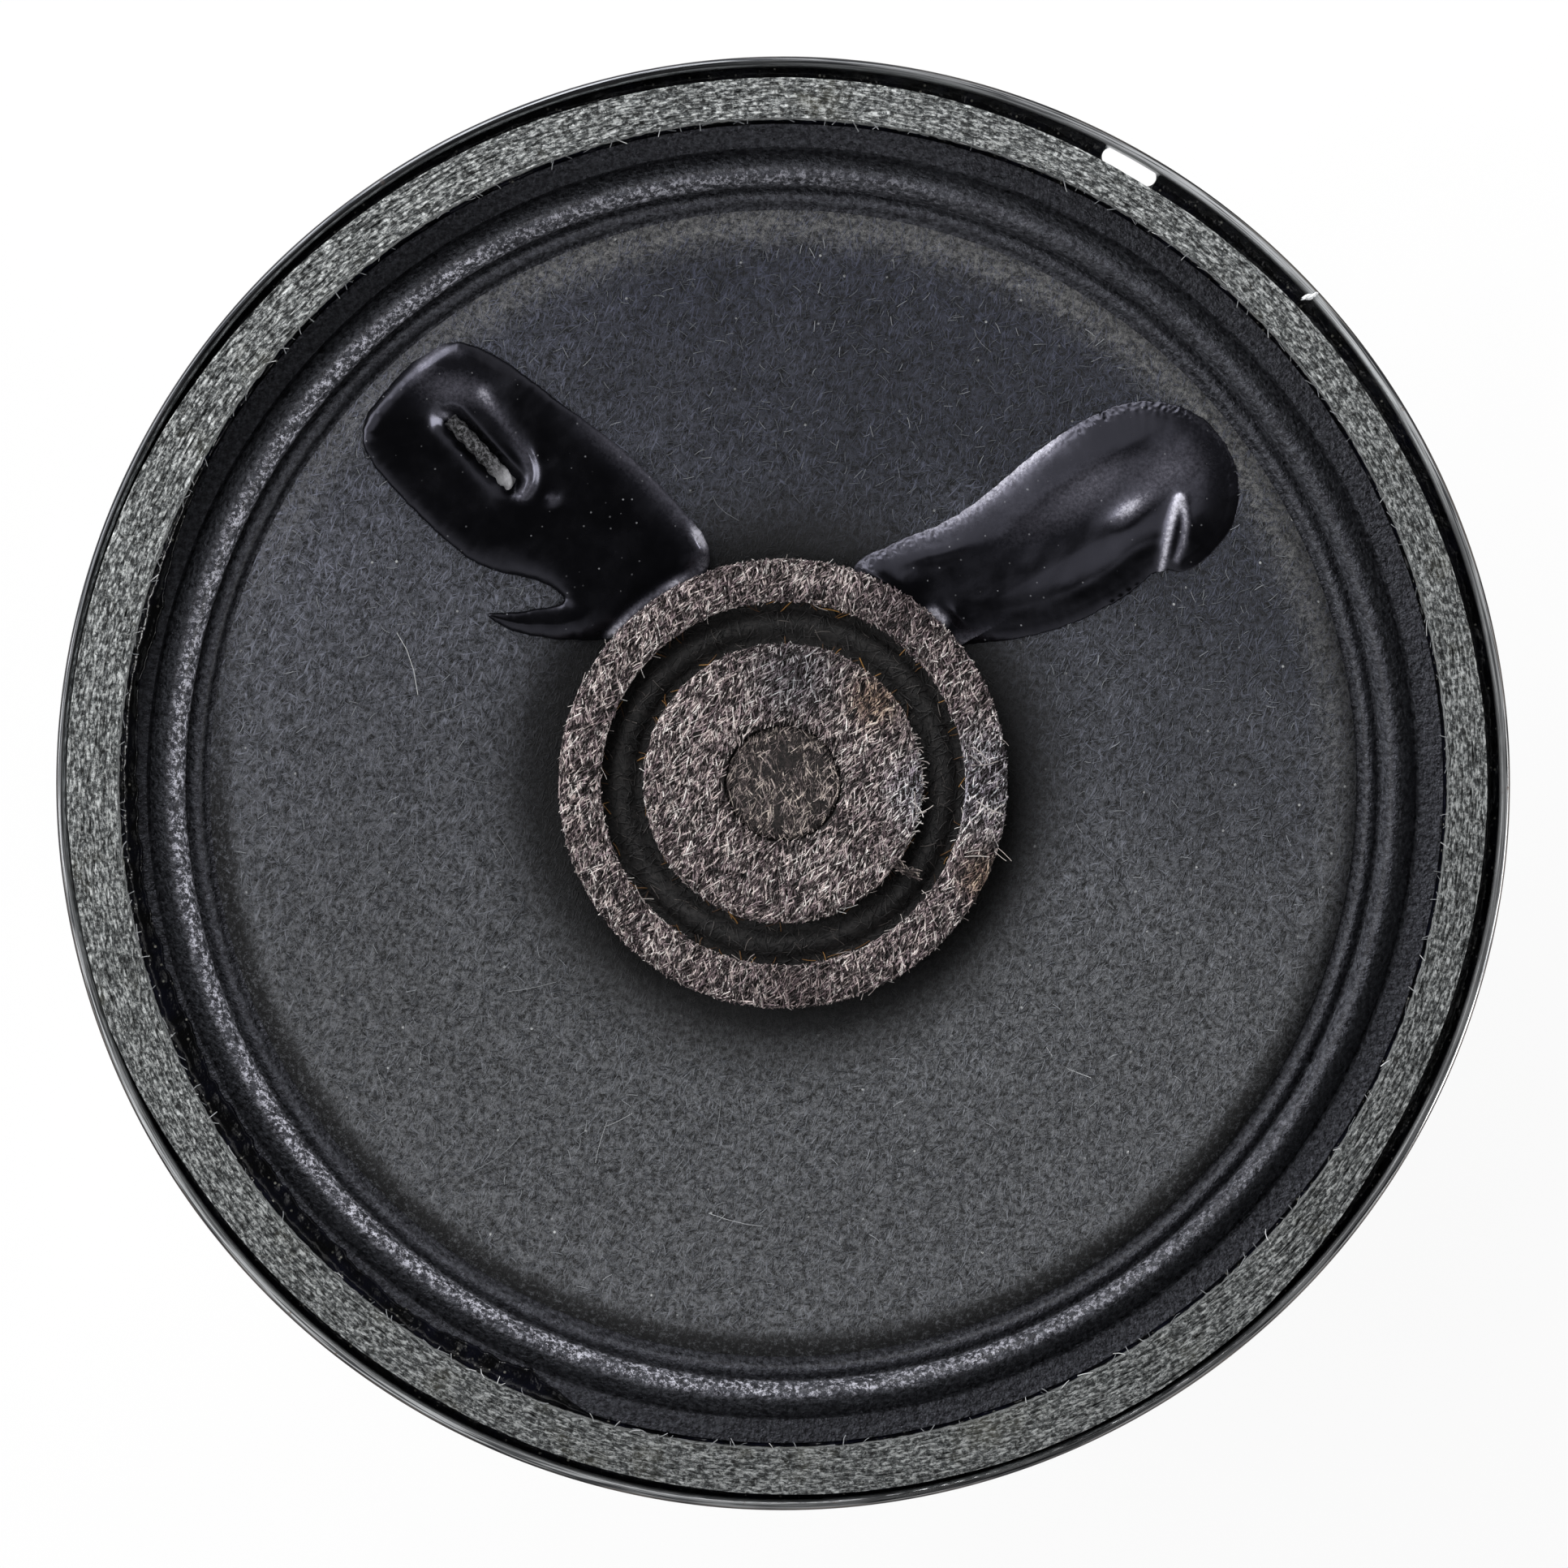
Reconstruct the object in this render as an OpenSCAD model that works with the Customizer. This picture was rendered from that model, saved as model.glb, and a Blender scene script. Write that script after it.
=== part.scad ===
// Miniature moving-coil loudspeaker: pressed steel basket, pot magnet, paper cone.
// Origin: centre of the magnet pot's flat back. +Z points out of the cone, +Y towards the terminals.

/* [Rim and gasket] */
// Outside diameter of the basket's rim
rim_d = 57; // [56:0.1:60]
// Height of the rim's lip above the flange
lip_h = 1.6; // [1.2:0.1:2]
// Thickness of the basket's steel sheet
sheet_t = 0.4; // [0.3:0.02:0.42]
// Radial gap between the rim's lip and the gasket
gasket_gap = 0.5; // [0.4:0.05:0.7]
// Radial width of the fibre gasket
gasket_w = 1.55; // [1.2:0.05:1.8]
// Height of the fibre gasket
gasket_h = 1.7; // [1.4:0.1:2.4]
// Direction of the slot in the flange, degrees from +X
slot_angle = 60.7; // [50:0.1:70]
// Length of the slot in the flange
slot_len = 2.35; // [1.5:0.05:4]
// Width of the slot in the flange
slot_w = 0.75; // [0.5:0.05:0.9]

/* [Basket] */
// Height of the flange's face above the magnet's top plate
flange_h = 8.65; // [8.2:0.05:10]
// Height of the basket's floor above the top plate
floor_h = 3.25; // [3.15:0.05:3.6]
// Height of the spider's shelf above the top plate
shelf_h = 2.1; // [2:0.05:2.2]
// Radius of the cup that stands on the top plate
cup_r = 11.8; // [11.5:0.1:12]
// Radial width of the spider's shelf
shelf_w = 2.8; // [2.6:0.1:3]
// Radius of the floor's outer edge
floor_r = 22.6; // [22.4:0.1:23]
// Radius of the hole in the basket's seat
seat_hole_r = 8.2; // [8:0.1:8.6]
// Distance from each window to the bends beside it
window_margin = 0.1; // [0.05:0.05:0.3]
// Number of windows in the floor
windows = 4; // [4:1:4]
// Angle between the centres of a window's two round ends
window_span = 40; // [34:1:42]

/* [Magnet] */
// Diameter of the magnet pot
pot_d = 26; // [25.6:0.2:28]
// Height of the magnet pot
pot_h = 10.4; // [9:0.2:12]
// Thickness of the pot's side wall
pot_wall = 2; // [1.4:0.1:2.4]
// Thickness of the pot's floor
pot_floor = 2.4; // [1.6:0.1:3]
// Radius of the pot's rounded back edge
pot_edge = 1; // [0.5:0.1:1.4]
// Thickness of the top plate
plate_t = 2; // [1.6:0.1:2.6]
// Diameter of the magnet slug
slug_d = 11; // [9:0.5:12]
// Thickness of the pole tip
pole_t = 4; // [3:0.2:4.6]
// Diameter of the pole tip
pole_d = 13.2; // [12.8:0.1:13.4]
// Diameter of the rivets that hold the basket
plate_rivet_d = 1.2; // [1:0.1:1.4]

/* [Voice coil] */
// Radial running gap on each side of the coil
coil_gap = 0.3; // [0.25:0.01:0.35]
// Wall of the paper former
former_t = 0.1; // [0.08:0.01:0.14]
// Radial thickness of the winding
winding_t = 0.23; // [0.16:0.01:0.26]
// Height of the winding
winding_h = 3; // [2.4:0.1:3.4]
// Diameter of the coil's wire where it crosses the cone
wire_d = 0.14; // [0.1:0.01:0.16]

/* [Cone and edge] */
// Thickness of the paper cone
cone_t = 0.35; // [0.25:0.01:0.4]
// Depth of the cone from its shoulder to its neck
cone_depth = 5.2; // [4.8:0.1:5.4]
// Width of the cone's turned-down shoulder
shoulder_w = 0.65; // [0.5:0.05:0.8]
// Drop of the cone's turned-down shoulder
shoulder_drop = 0.26; // [0.2:0.02:0.3]
// Height of the collar that glues the cone to the former
neck_h = 0.9; // [0.6:0.1:1]
// Thickness of the doped cloth edge
edge_t = 0.25; // [0.18:0.01:0.28]
// Width of the flat land inside the gasket
land_w = 1.15; // [0.9:0.05:1.4]
// Width of the edge's roll
roll_w = 1.5; // [1.2:0.05:1.7]
// Height of the edge's roll
roll_h = 0.85; // [0.6:0.05:1]
// Width of the small ridge between roll and cone
ridge_w = 0.75; // [0.6:0.05:0.9]
// Height of the small ridge
ridge_h = 0.28; // [0.2:0.02:0.34]
// Depth of the grooves beside the roll
groove_d = 0.25; // [0.15:0.01:0.3]
// Width of the edge's lap under the cone
lap_w = 1.2; // [0.9:0.1:1.2]

/* [Spider] */
// Thickness of the corrugated spider cloth
spider_t = 0.22; // [0.18:0.01:0.24]
// Number of corrugations
waves = 3; // [2:1:4]
// Height of the corrugations to each side
wave_h = 0.4; // [0.25:0.05:0.45]
// Height of the spider's collar on the former
collar_h = 0.7; // [0.4:0.1:0.9]

/* [Dust cap] */
// Diameter of the dust cap
cap_d = 17.74; // [17.2:0.02:19]
// Thickness of the moulded cap
cap_t = 0.3; // [0.25:0.01:0.4]
// Height of the felt
felt_t = 0.9; // [0.6:0.05:1.4]
// Width of the felt ring
felt_ring_w = 1.62; // [1.2:0.02:1.9]
// Width of the bare channel between ring and disc
channel_w = 1.75; // [1.4:0.05:2.2]
// Height of the roll pressed into the channel
channel_roll_h = 0.3; // [0.15:0.05:0.5]
// Radius of the dimple pressed into the felt disc
dimple_r = 2.35; // [1.6:0.05:3]
// Depth of the dimple
dimple_d = 0.25; // [0.1:0.05:0.4]

/* [Leads and terminals] */
// Direction of the left lead, degrees from +X
left_angle = 132.4; // [128:0.1:136]
// Direction of the right lead, degrees from +X
right_angle = 34; // [30:0.1:36]
// Height of the lead cement above the cone
dope_h = 0.75; // [0.65:0.05:1]
// Thickness of the stitched tinsel loop
stitch_d = 0.5; // [0.4:0.05:0.52]
// Length of the stitched tinsel loop
stitch_len = 4; // [3:0.1:4.4]
// Diameter of the flexible tinsel leads
lead_d = 0.6; // [0.4:0.05:0.7]
// Length of the terminal board
board_len = 18; // [17.6:0.2:20]
// Width of the terminal board
board_w = 4.8; // [4.2:0.1:5]
// Thickness of the terminal board
board_t = 1.2; // [0.8:0.1:1.4]
// Sideways distance of each solder lug
lug_x = 7.3; // [7.1:0.1:7.6]
// Width of the solder lugs
lug_w = 2.4; // [2:0.1:2.6]
// Thickness of the solder lugs
lug_t = 0.4; // [0.3:0.05:0.5]
// Distance from a lug's rivet to its wire hole
lug_reach = 5.6; // [5.2:0.1:6.4]
// Radius of the wire holes in the lugs
lug_hole_r = 0.7; // [0.5:0.05:0.8]
// Length of a lug's inner end past the board
lug_tail = 1.7; // [1.5:0.05:1.9]
// Diameter of the rivets through lugs and board
lug_rivet_d = 1.2; // [1:0.1:1.4]
// Diameter of the rivet through board and basket
board_rivet_d = 1.5; // [1.2:0.1:1.8]
// Radius of the solder drops
solder_r = 0.85; // [0.7:0.05:0.9]
// Place of the left stitch, as a share of the way from cap to shoulder
stitch_left_at = 0.678; // [0.6:0.01:0.72]
// Place of the right stitch, as a share of the way from cap to shoulder
stitch_right_at = 0.563; // [0.5:0.01:0.62]

/* [Hidden] */
$fn = 96;

// Glue line left between pieces that are cemented together
bond = 0.02;
// Clearance round rivets and wires
fit = 0.03;
// Extra length of a cutting tool past the faces that it cuts
past = 1;

// Heights of the magnet system
plate_z = pot_h;
plate_top = plate_z + plate_t;
rivet_ring_r = (seat_hole_r + cup_r) / 2 - 0.1;
rivet_r = plate_rivet_d / 2;
rivet_head_r = 1.7 * rivet_r;
rivet_head_h = 0.6 * rivet_r;

// Radii of the air gap, from the pole outwards
former_r = pole_d / 2 + coil_gap;
former_out_r = former_r + former_t;
winding_r = former_out_r + bond + winding_t;
gap_r = winding_r + coil_gap;
glue_r = former_out_r + 2 * bond;

// Levels and radii of the basket
seat_top = plate_top + sheet_t;
shelf_top = plate_top + shelf_h;
floor_top = plate_top + floor_h;
flange_top = plate_top + flange_h;
lip_top = flange_top + lip_h;
lip_r = rim_d / 2 - sheet_t;
bend = 0.62;
step_bend = 0.55;
lip_bend = 0.25;
cup_flare = 0.3;
step_r = cup_r + cup_flare + shelf_w;
step_flare = 0.45;
window_in_r = step_r + step_flare + step_bend + window_margin;
window_out_r = floor_r - bend - window_margin;
window_mid_r = (window_in_r + window_out_r) / 2;
window_w = window_out_r - window_in_r;
// The slot runs a little way into the foot of the lip
slot_mid_r = lip_r - slot_w / 2 + 0.1;

// Radii of the gasket and of the cloth edge, from the rim inwards
gasket_r = lip_r - gasket_gap;
gasket_in_r = gasket_r - gasket_w;
// Room between the basket's wall and the moving part of the edge
edge_room = 0.45;
wall_top_r = gasket_in_r - edge_room;
groove_1_r = gasket_in_r - land_w;
groove_2_r = groove_1_r - roll_w;
groove_3_r = groove_2_r - ridge_w;
land_z = flange_top + bond + edge_t;
groove_z = land_z - groove_d;
gasket_z = land_z + bond;
gasket_top = gasket_z + gasket_h;
// Width of the squeezed-out bead of cement
bead_w = 0.4;
// Width of the creases between the edge's waves
crease = 0.06;

// Cone: rim, shoulder, neck and the straight side between them
rim_r = groove_3_r - 0.1;
rim_z = groove_z + 2 * bond + cone_t;
shoulder_r = rim_r - shoulder_w;
shoulder_z = rim_z + shoulder_drop;
neck_z = shoulder_z - cone_depth;
slope = (shoulder_z - neck_z) / (shoulder_r - glue_r);
tilt = atan(slope);
former_top = neck_z + 0.35;

// Dust cap
cap_r = cap_d / 2;
cap_top = cone_z(cap_r) + bond + cap_t;
cap_under = cap_top - cap_t;
// Room for the neck's cement inside the cap's skirt
neck_room = 0.7;
skirt_r = former_out_r + neck_room;
felt_z = cap_top + bond;
felt_in_r = cap_r - felt_ring_w;
disc_r = felt_in_r - channel_w;
channel_r = (felt_in_r + disc_r) / 2;
channel_roll_w = 0.6 * channel_w;

// Spider
spider_rise = 0.15;
spider_in_z = shelf_top + bond + spider_t + spider_rise;
spider_start_r = glue_r + spider_t + spider_rise;
spider_land_r = cup_r + cup_flare + 0.9 * bend;
spider_flat = 0.35;
spider_end_r = step_r - step_bend - spider_flat;

// Voice coil
coil_mid_z = plate_z + plate_t / 2;
winding_z = coil_mid_z - winding_h / 2;
winding_top = winding_z + winding_h;

// Terminals, on the spoke that points along +Y
board_top = floor_top - sheet_t;
board_z = board_top - board_t;
board_in_y = step_r + step_flare + 2 * sheet_t + fit;
board_y = board_in_y + board_w / 2;
lug_top = board_z;
lug_z = lug_top - lug_t;
lug_in_y = board_in_y - lug_tail;
pad_y = lug_in_y + solder_r + fit;
lug_hole_y = board_y + lug_reach;
lug_rivet_r = lug_rivet_d / 2;
lug_head_r = 1.6 * lug_rivet_r;
lug_head_h = 0.5 * lug_rivet_r;
board_rivet_r = board_rivet_d / 2;
solder_x = lug_x + lug_w / 2 - 0.9 * solder_r;
lead_x = lug_x + lug_w / 2 + lead_d / 2 + 4 * fit;
cone_reach = shoulder_r - cap_r;
stitch_left_r = cap_r + stitch_left_at * cone_reach;
stitch_right_r = cap_r + stitch_right_at * cone_reach;

// Outlines of the lead cement, as [along, aside]: the way along the lead from the cap's
// edge, and the way to the left of the lead, both as shares of the reach to the shoulder
left_blob = [[0.966, -0.172], [0.847, -0.234], [0.633, -0.279], [0.395, -0.324], [0.135, -0.336],
             [-0.024, -0.299], [-0.09, -0.092], [0.015, 0.114], [0.178, 0.272], [0.303, 0.319],
             [0.24, 0.232], [0.179, 0.122], [0.261, 0.129], [0.4, 0.22], [0.516, 0.255],
             [0.703, 0.269], [0.891, 0.26], [0.98, 0.192], [1.01, 0.031], [1.005, -0.071]];
right_blob = [[-0.143, 0.412], [0.021, 0.416], [0.153, 0.388], [0.294, 0.383], [0.515, 0.404],
              [0.725, 0.399], [0.887, 0.336], [0.99, 0.193], [0.98, 0.007], [0.871, -0.12],
              [0.705, -0.155], [0.614, -0.103], [0.487, -0.11], [0.28, -0.081], [0.065, 0.012],
              [-0.08, 0.123]];

// Height of the cone's front face at radius r, on its straight side
function cone_z(r) = neck_z + (r - glue_r) * slope;

// Unit vector along v
function unit(v) = v / norm(v);

// Normal on the right of the step from a to b
function normal(a, b) = let(u = unit(b - a)) [u[1], -u[0]];

// Mitred normal of path p at point i
function mitre(p, i) = let(
    before = normal(p[max(i - 1, 0)], p[max(i, 1)]),
    after = normal(p[min(i, len(p) - 2)], p[min(i + 1, len(p) - 1)]),
    middle = unit(before + after))
    middle / (middle * before);

// Path p moved by d to its right
function moved(p, d) = [for (i = [0 : len(p) - 1]) p[i] + d * mitre(p, i)];

// Path p from its last point to its first
function backwards(p) = [for (i = [len(p) - 1 : -1 : 0]) p[i]];

// Closed outline of a wall of thickness t on the right of path p
function wall(p, t) = concat(p, backwards(moved(p, t)));

// Point at share t of the curve from a to b that is drawn towards c
function curve(a, c, b, t) = (1 - t) ^ 2 * a + 2 * t * (1 - t) * c + t ^ 2 * b;

// Path p with corner i turned into a curve that starts d[i] before it
function rounded(p, d, n = 5) = [for (i = [0 : len(p) - 1])
    each (d[i] == 0 ? [p[i]] : let(
        a = p[i] + d[i] * unit(p[i - 1] - p[i]),
        b = p[i] + d[i] * unit(p[i + 1] - p[i]))
        [for (k = [0 : n]) curve(a, p[i], b, k / n)])];

// Half-wave from [r0, z] to [r1, z] with height h
function half_wave(r0, r1, z, h, n) =
    [for (k = [0 : n]) [r0 + (r1 - r0) * k / n, z + h * sin(180 * k / n)]];

// Smooth closed curve through points p, with n steps between neighbours
function smooth_loop(p, n = 3) = [for (i = [0 : len(p) - 1], k = [0 : n - 1]) let(
    m = len(p),
    a = p[(i + m - 1) % m],
    b = p[i],
    c = p[(i + 1) % m],
    d = p[(i + 2) % m],
    t = k / n)
    b + (c - a) * t / 2 + (2 * a - 5 * b + 4 * c - d) * t ^ 2 / 2
    + (3 * b - a - 3 * c + d) * t ^ 3 / 2];

// Point of a cubic curve through the four control points c
function cubic(c, t) = (1 - t) ^ 3 * c[0] + 3 * t * (1 - t) ^ 2 * c[1]
    + 3 * t ^ 2 * (1 - t) * c[2] + t ^ 3 * c[3];

// Point at radius r, angle a and height z
function polar(r, a, z) = [r * cos(a), r * sin(a), z];

// Front face of the cone from radius r to its rim
function cone_face(r) = rounded(
    [[r, cone_z(r)], [shoulder_r, shoulder_z], [rim_r, rim_z]],
    [0, 0.9 * shoulder_w, 0]);

module turned(outline) {
    rotate_extrude() polygon(outline);
}

// Ring from radius r_in to r_out and from z0 to z1
module ring(r_in, r_out, z0, z1) {
    rotate_extrude() translate([r_in, z0]) square([r_out - r_in, z1 - z0]);
}

// Flat bean shape on a circle of radius r: round ends, centred on +X
module bean(r, w, span) {
    sides = 10;
    half = span / 2;
    outer = [for (k = [0 : sides]) let(a = -half + span * k / sides)
        (r + w / 2) * [cos(a), sin(a)]];
    inner = [for (k = [0 : sides]) let(a = half - span * k / sides)
        (r - w / 2) * [cos(a), sin(a)]];
    top_end = [for (k = [1 : sides - 1]) let(a = half + 180 * k / sides)
        r * [cos(half), sin(half)] + w / 2 * [cos(a), sin(a)]];
    low_end = [for (k = [1 : sides - 1]) let(a = 180 - half + 180 * k / sides)
        r * [cos(half), -sin(half)] + w / 2 * [cos(a), sin(a)]];
    polygon(concat(outer, top_end, inner, low_end));
}

// Rivet with its shank from z0 to z1 and a head outside each end
module rivet(r, head_r, head_h, z0, z1) {
    translate([0, 0, z0]) cylinder(h = z1 - z0, r = r);
    translate([0, 0, z1]) cylinder(h = head_h, r1 = head_r, r2 = 0.8 * head_r);
    translate([0, 0, z0 - head_h]) cylinder(h = head_h, r1 = 0.8 * head_r, r2 = head_r);
}

module at_plate_rivets() {
    for (a = [45 : 90 : 315]) rotate(a) translate([rivet_ring_r, 0]) children();
}

module at_windows() {
    for (k = [0 : windows - 1]) rotate((k + 0.5) * 360 / windows) children();
}

module at_lug_rivets() {
    for (x = [-lug_x, lug_x]) translate([x, board_y, 0]) children();
}

// Straight run on the cone's face at angle a, from radius r0 to r1, its axis h above the face
module on_cone(a, r0, r1, h) {
    rotate(a) translate([r0, 0, cone_z(r0)]) rotate([0, -tilt, 0]) translate([0, 0, h])
        rotate([0, 90, 0]) children();
}

// Length along the cone's face between two radii
function along(r0, r1) = (r1 - r0) / cos(tilt);

// Round bar on the cone's face, widened by grow all round
module cone_bar(a, r0, r1, d, grow) {
    on_cone(a, r0, r1, d / 2 + bond) translate([0, 0, -grow])
        cylinder(h = along(r0, r1) + 2 * grow, d = d + 2 * grow, $fn = 32);
}

// Wire of the coil: up the outside of the former, then out over the cone's face
module coil_wire(a, r_stitch, grow) {
    wire_r = former_out_r + bond + wire_d / 2;
    cone_bar(a, wire_r, r_stitch - stitch_len / 2 - bond, wire_d, grow);
    rotate(a) translate([wire_r, 0, winding_top + bond])
        cylinder(h = neck_z - winding_top + wire_d / 2, d = wire_d + 2 * grow, $fn = 32);
}

module both_coil_wires(grow) {
    coil_wire(left_angle, stitch_left_r, grow);
    coil_wire(right_angle, stitch_right_r, grow);
}

// Tinsel sewn through the cone: a bar with round ends on the cone's face
module stitch(a, r, grow) {
    run = stitch_len - stitch_d;
    on_cone(a, r - run / 2 * cos(tilt), r, stitch_d / 2 + bond) {
        cylinder(h = run, d = stitch_d + 2 * grow, $fn = 32);
        for (z = [0, run]) translate([0, 0, z]) sphere(d = stitch_d + 2 * grow, $fn = 32);
    }
}

// Patch of lead cement on the cone's face, inside the outline blob
module dope(a, blob) {
    face = cone_face(cap_r - dope_h);
    difference() {
        intersection() {
            turned(concat(moved(face, -bond), backwards(moved(face, -bond - dope_h))));
            rotate(a) linear_extrude(gasket_top)
                polygon(smooth_loop([for (p = blob) [cap_r, 0] + cone_reach * p]));
        }
        cylinder(h = gasket_top, r = cap_r + bond);
        both_coil_wires(fit);
    }
}

// Smooth round tube along a cubic curve with control points c
module lead(c) {
    steps = 16;
    sides = 8;
    rings = [for (i = [0 : steps]) let(
        t = i / steps,
        way = unit(cubic(c, min(t + 0.01, 1)) - cubic(c, max(t - 0.01, 0))),
        u = unit(cross(way, [0.3, 1, 0])),
        v = cross(way, u))
        [for (k = [0 : sides - 1]) cubic(c, t)
            + lead_d / 2 * (cos(360 * k / sides) * u + sin(360 * k / sides) * v)]];
    polyhedron(
        points = [for (r = rings) each r],
        faces = concat(
            [[for (k = [0 : sides - 1]) k]],
            [[for (k = [sides - 1 : -1 : 0]) steps * sides + k]],
            [for (i = [0 : steps - 1], k = [0 : sides - 1])
                [i * sides + k, (i + 1) * sides + k,
                 (i + 1) * sides + (k + 1) % sides, i * sides + (k + 1) % sides]]));
}

// Solder lug, with its rivet hole at the board and its wire hole past the board's edge
module lug(x) {
    color("#b9a98a") difference() {
        translate([x, 0, lug_z]) {
            translate([-lug_w / 2, lug_in_y, 0])
                cube([lug_w, lug_hole_y - lug_in_y, lug_t]);
            translate([0, lug_hole_y, 0]) cylinder(h = lug_t, d = lug_w);
        }
        translate([x, board_y, lug_z - past]) cylinder(h = lug_t + 2 * past, r = lug_rivet_r + fit);
        translate([x, lug_hole_y, lug_z - past]) cylinder(h = lug_t + 2 * past, r = lug_hole_r);
    }
}

// Magnet system

module yoke_pot() {
    inner_r = pot_d / 2 - pot_wall;
    color("#8f9194") turned(concat(
        [[0, pot_floor], [0, 0]],
        [for (a = [0 : 15 : 90])
            [pot_d / 2 - pot_edge * (1 - sin(a)), pot_edge * (1 - cos(a))]],
        [[pot_d / 2, pot_h], [inner_r, pot_h], [inner_r, pot_floor]]));
}

module magnet_slug() {
    color("#6c6e72") translate([0, 0, pot_floor + bond])
        cylinder(h = plate_top - pole_t - pot_floor - 2 * bond, d = slug_d);
}

module pole_tip() {
    edge = 0.2;
    color("#a5a7a9") turned([[0, plate_top - pole_t], [pole_d / 2, plate_top - pole_t],
        [pole_d / 2, plate_top - edge], [pole_d / 2 - edge, plate_top], [0, plate_top]]);
}

module top_plate() {
    edge = 0.2;
    color("#a5a7a9") difference() {
        turned([[gap_r, plate_z], [pot_d / 2 - edge, plate_z], [pot_d / 2, plate_z + edge],
            [pot_d / 2, plate_top - edge], [pot_d / 2 - edge, plate_top], [gap_r, plate_top]]);
        at_plate_rivets() translate([0, 0, plate_z - past])
            cylinder(h = plate_t + 2 * past, r = rivet_r + fit);
    }
}

module plate_rivets() {
    color("#b4b6b8") at_plate_rivets() {
        translate([0, 0, plate_z]) cylinder(h = seat_top - plate_z, r = rivet_r);
        translate([0, 0, seat_top])
            cylinder(h = rivet_head_h, r1 = rivet_head_r, r2 = 0.8 * rivet_head_r);
    }
}

// Basket and what is fixed to it

module basket() {
    inside = rounded(
        [[seat_hole_r, seat_top], [cup_r, seat_top], [cup_r + cup_flare, shelf_top],
         [step_r, shelf_top], [step_r + step_flare, floor_top], [floor_r, floor_top],
         [wall_top_r, flange_top], [lip_r, flange_top], [lip_r, lip_top]],
        [0, bend, bend, step_bend, step_bend, bend, bend, lip_bend, 0]);
    color("#b8bab9") difference() {
        turned(wall(inside, sheet_t));
        at_windows() translate([0, 0, floor_top - sheet_t - past])
            linear_extrude(sheet_t + 2 * past) bean(window_mid_r, window_w, window_span);
        at_plate_rivets() translate([0, 0, plate_top - past])
            cylinder(h = sheet_t + 2 * past, r = rivet_r + fit);
        translate([0, board_y, floor_top - sheet_t - past])
            cylinder(h = sheet_t + 2 * past, r = board_rivet_r + fit);
        rotate(slot_angle) translate([0, 0, flange_top - sheet_t - past])
            linear_extrude(sheet_t + past + lip_bend)
                bean(slot_mid_r, slot_w, (slot_len - slot_w) / slot_mid_r * 180 / PI);
    }
}

module gasket_ring() {
    color("#6f7272") ring(gasket_in_r, gasket_r, gasket_z, gasket_top);
}

// Bead of cement squeezed out along the gasket's inner edge
module gasket_cement() {
    outer = gasket_in_r - bond;
    color("#0b0b0d") turned(concat([[outer, land_z + bond]],
        [for (a = [0 : 15 : 90])
            [outer - bead_w * cos(a), land_z + bond + bead_w * sin(a)]]));
}

// Cement in the groove between gasket and rim, left out at the slot
module rim_cement() {
    color("#0b0b0d") difference() {
        ring(gasket_r + bond, lip_r - bond, flange_top + lip_bend + bond, gasket_z + gasket_h / 3);
        rotate(slot_angle) linear_extrude(gasket_top)
            bean(slot_mid_r, slot_w + 2 * bond + gasket_gap, slot_len / slot_mid_r * 180 / PI);
    }
}

module surround() {
    face = concat(
        [[rim_r - lap_w, groove_z], [groove_3_r, groove_z]],
        half_wave(groove_3_r + crease, groove_2_r, groove_z, ridge_h, 6),
        half_wave(groove_2_r + crease, groove_1_r, groove_z, roll_h, 12),
        [[groove_1_r + 2 * crease, land_z], [gasket_r - 0.2, land_z]]);
    color("#1d1f21") turned(wall(face, edge_t));
}

module spider() {
    n = 8 * waves;
    top = [for (k = [0 : n])
        [spider_start_r + (spider_land_r - spider_flat - spider_start_r) * k / n,
         spider_in_z + wave_h * sin(360 * waves * k / n)]];
    collar_top = spider_in_z + spider_rise;
    face = concat([[glue_r, collar_top - collar_h], [glue_r, collar_top]], top,
        [[spider_land_r, shelf_top + bond + spider_t], [spider_end_r, shelf_top + bond + spider_t]]);
    color("#8a6f45") difference() {
        turned(wall(face, spider_t));
        both_coil_wires(fit);
    }
}

module terminal_board() {
    corner = 0.8;
    color("#6b4423") difference() {
        translate([0, board_y, board_z]) linear_extrude(board_t) union() {
            square([board_len - 2 * corner, board_w], center = true);
            square([board_len, board_w - 2 * corner], center = true);
            for (x = [-1, 1], y = [-1, 1])
                translate([x * (board_len / 2 - corner), y * (board_w / 2 - corner)])
                    circle(corner);
        }
        translate([0, board_y, board_z - past])
            cylinder(h = board_t + 2 * past, r = board_rivet_r + fit);
        at_lug_rivets() {
            translate([0, 0, board_z - past])
                cylinder(h = board_t + 2 * past, r = lug_rivet_r + fit);
            translate([0, 0, board_top - lug_head_h - 2 * fit])
                cylinder(h = past, r = lug_head_r + fit);
        }
    }
}

module board_rivet() {
    color("#b4b6b8") translate([0, board_y, 0])
        rivet(board_rivet_r, 1.85 * board_rivet_r, 0.5 * board_rivet_r, board_z, floor_top);
}

// Their upper heads are sunk into the board, clear of the basket
module lug_rivets() {
    color("#c2a14d") at_lug_rivets()
        rivet(lug_rivet_r, lug_head_r, lug_head_h, lug_z, board_top - lug_head_h - fit);
}

module terminal_lug_left() { lug(-lug_x); }

module terminal_lug_right() { lug(lug_x); }

// Drops of solder under the inner ends of the lugs, where the leads arrive
module solder_joints() {
    color("#c9cbcd") for (x = [-solder_x, solder_x]) translate([x, pad_y, lug_z]) difference() {
        sphere(solder_r);
        translate([0, 0, solder_r]) cube(2 * solder_r, center = true);
    }
}

// Flexible leads, from the stitch through a basket window to the solder
function lead_start(a, r) = polar(r, a, cone_z(r) - lead_d / 4);
function lead_end(s) = [s * lead_x, pad_y, lug_z - 0.6 * solder_r];

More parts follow.
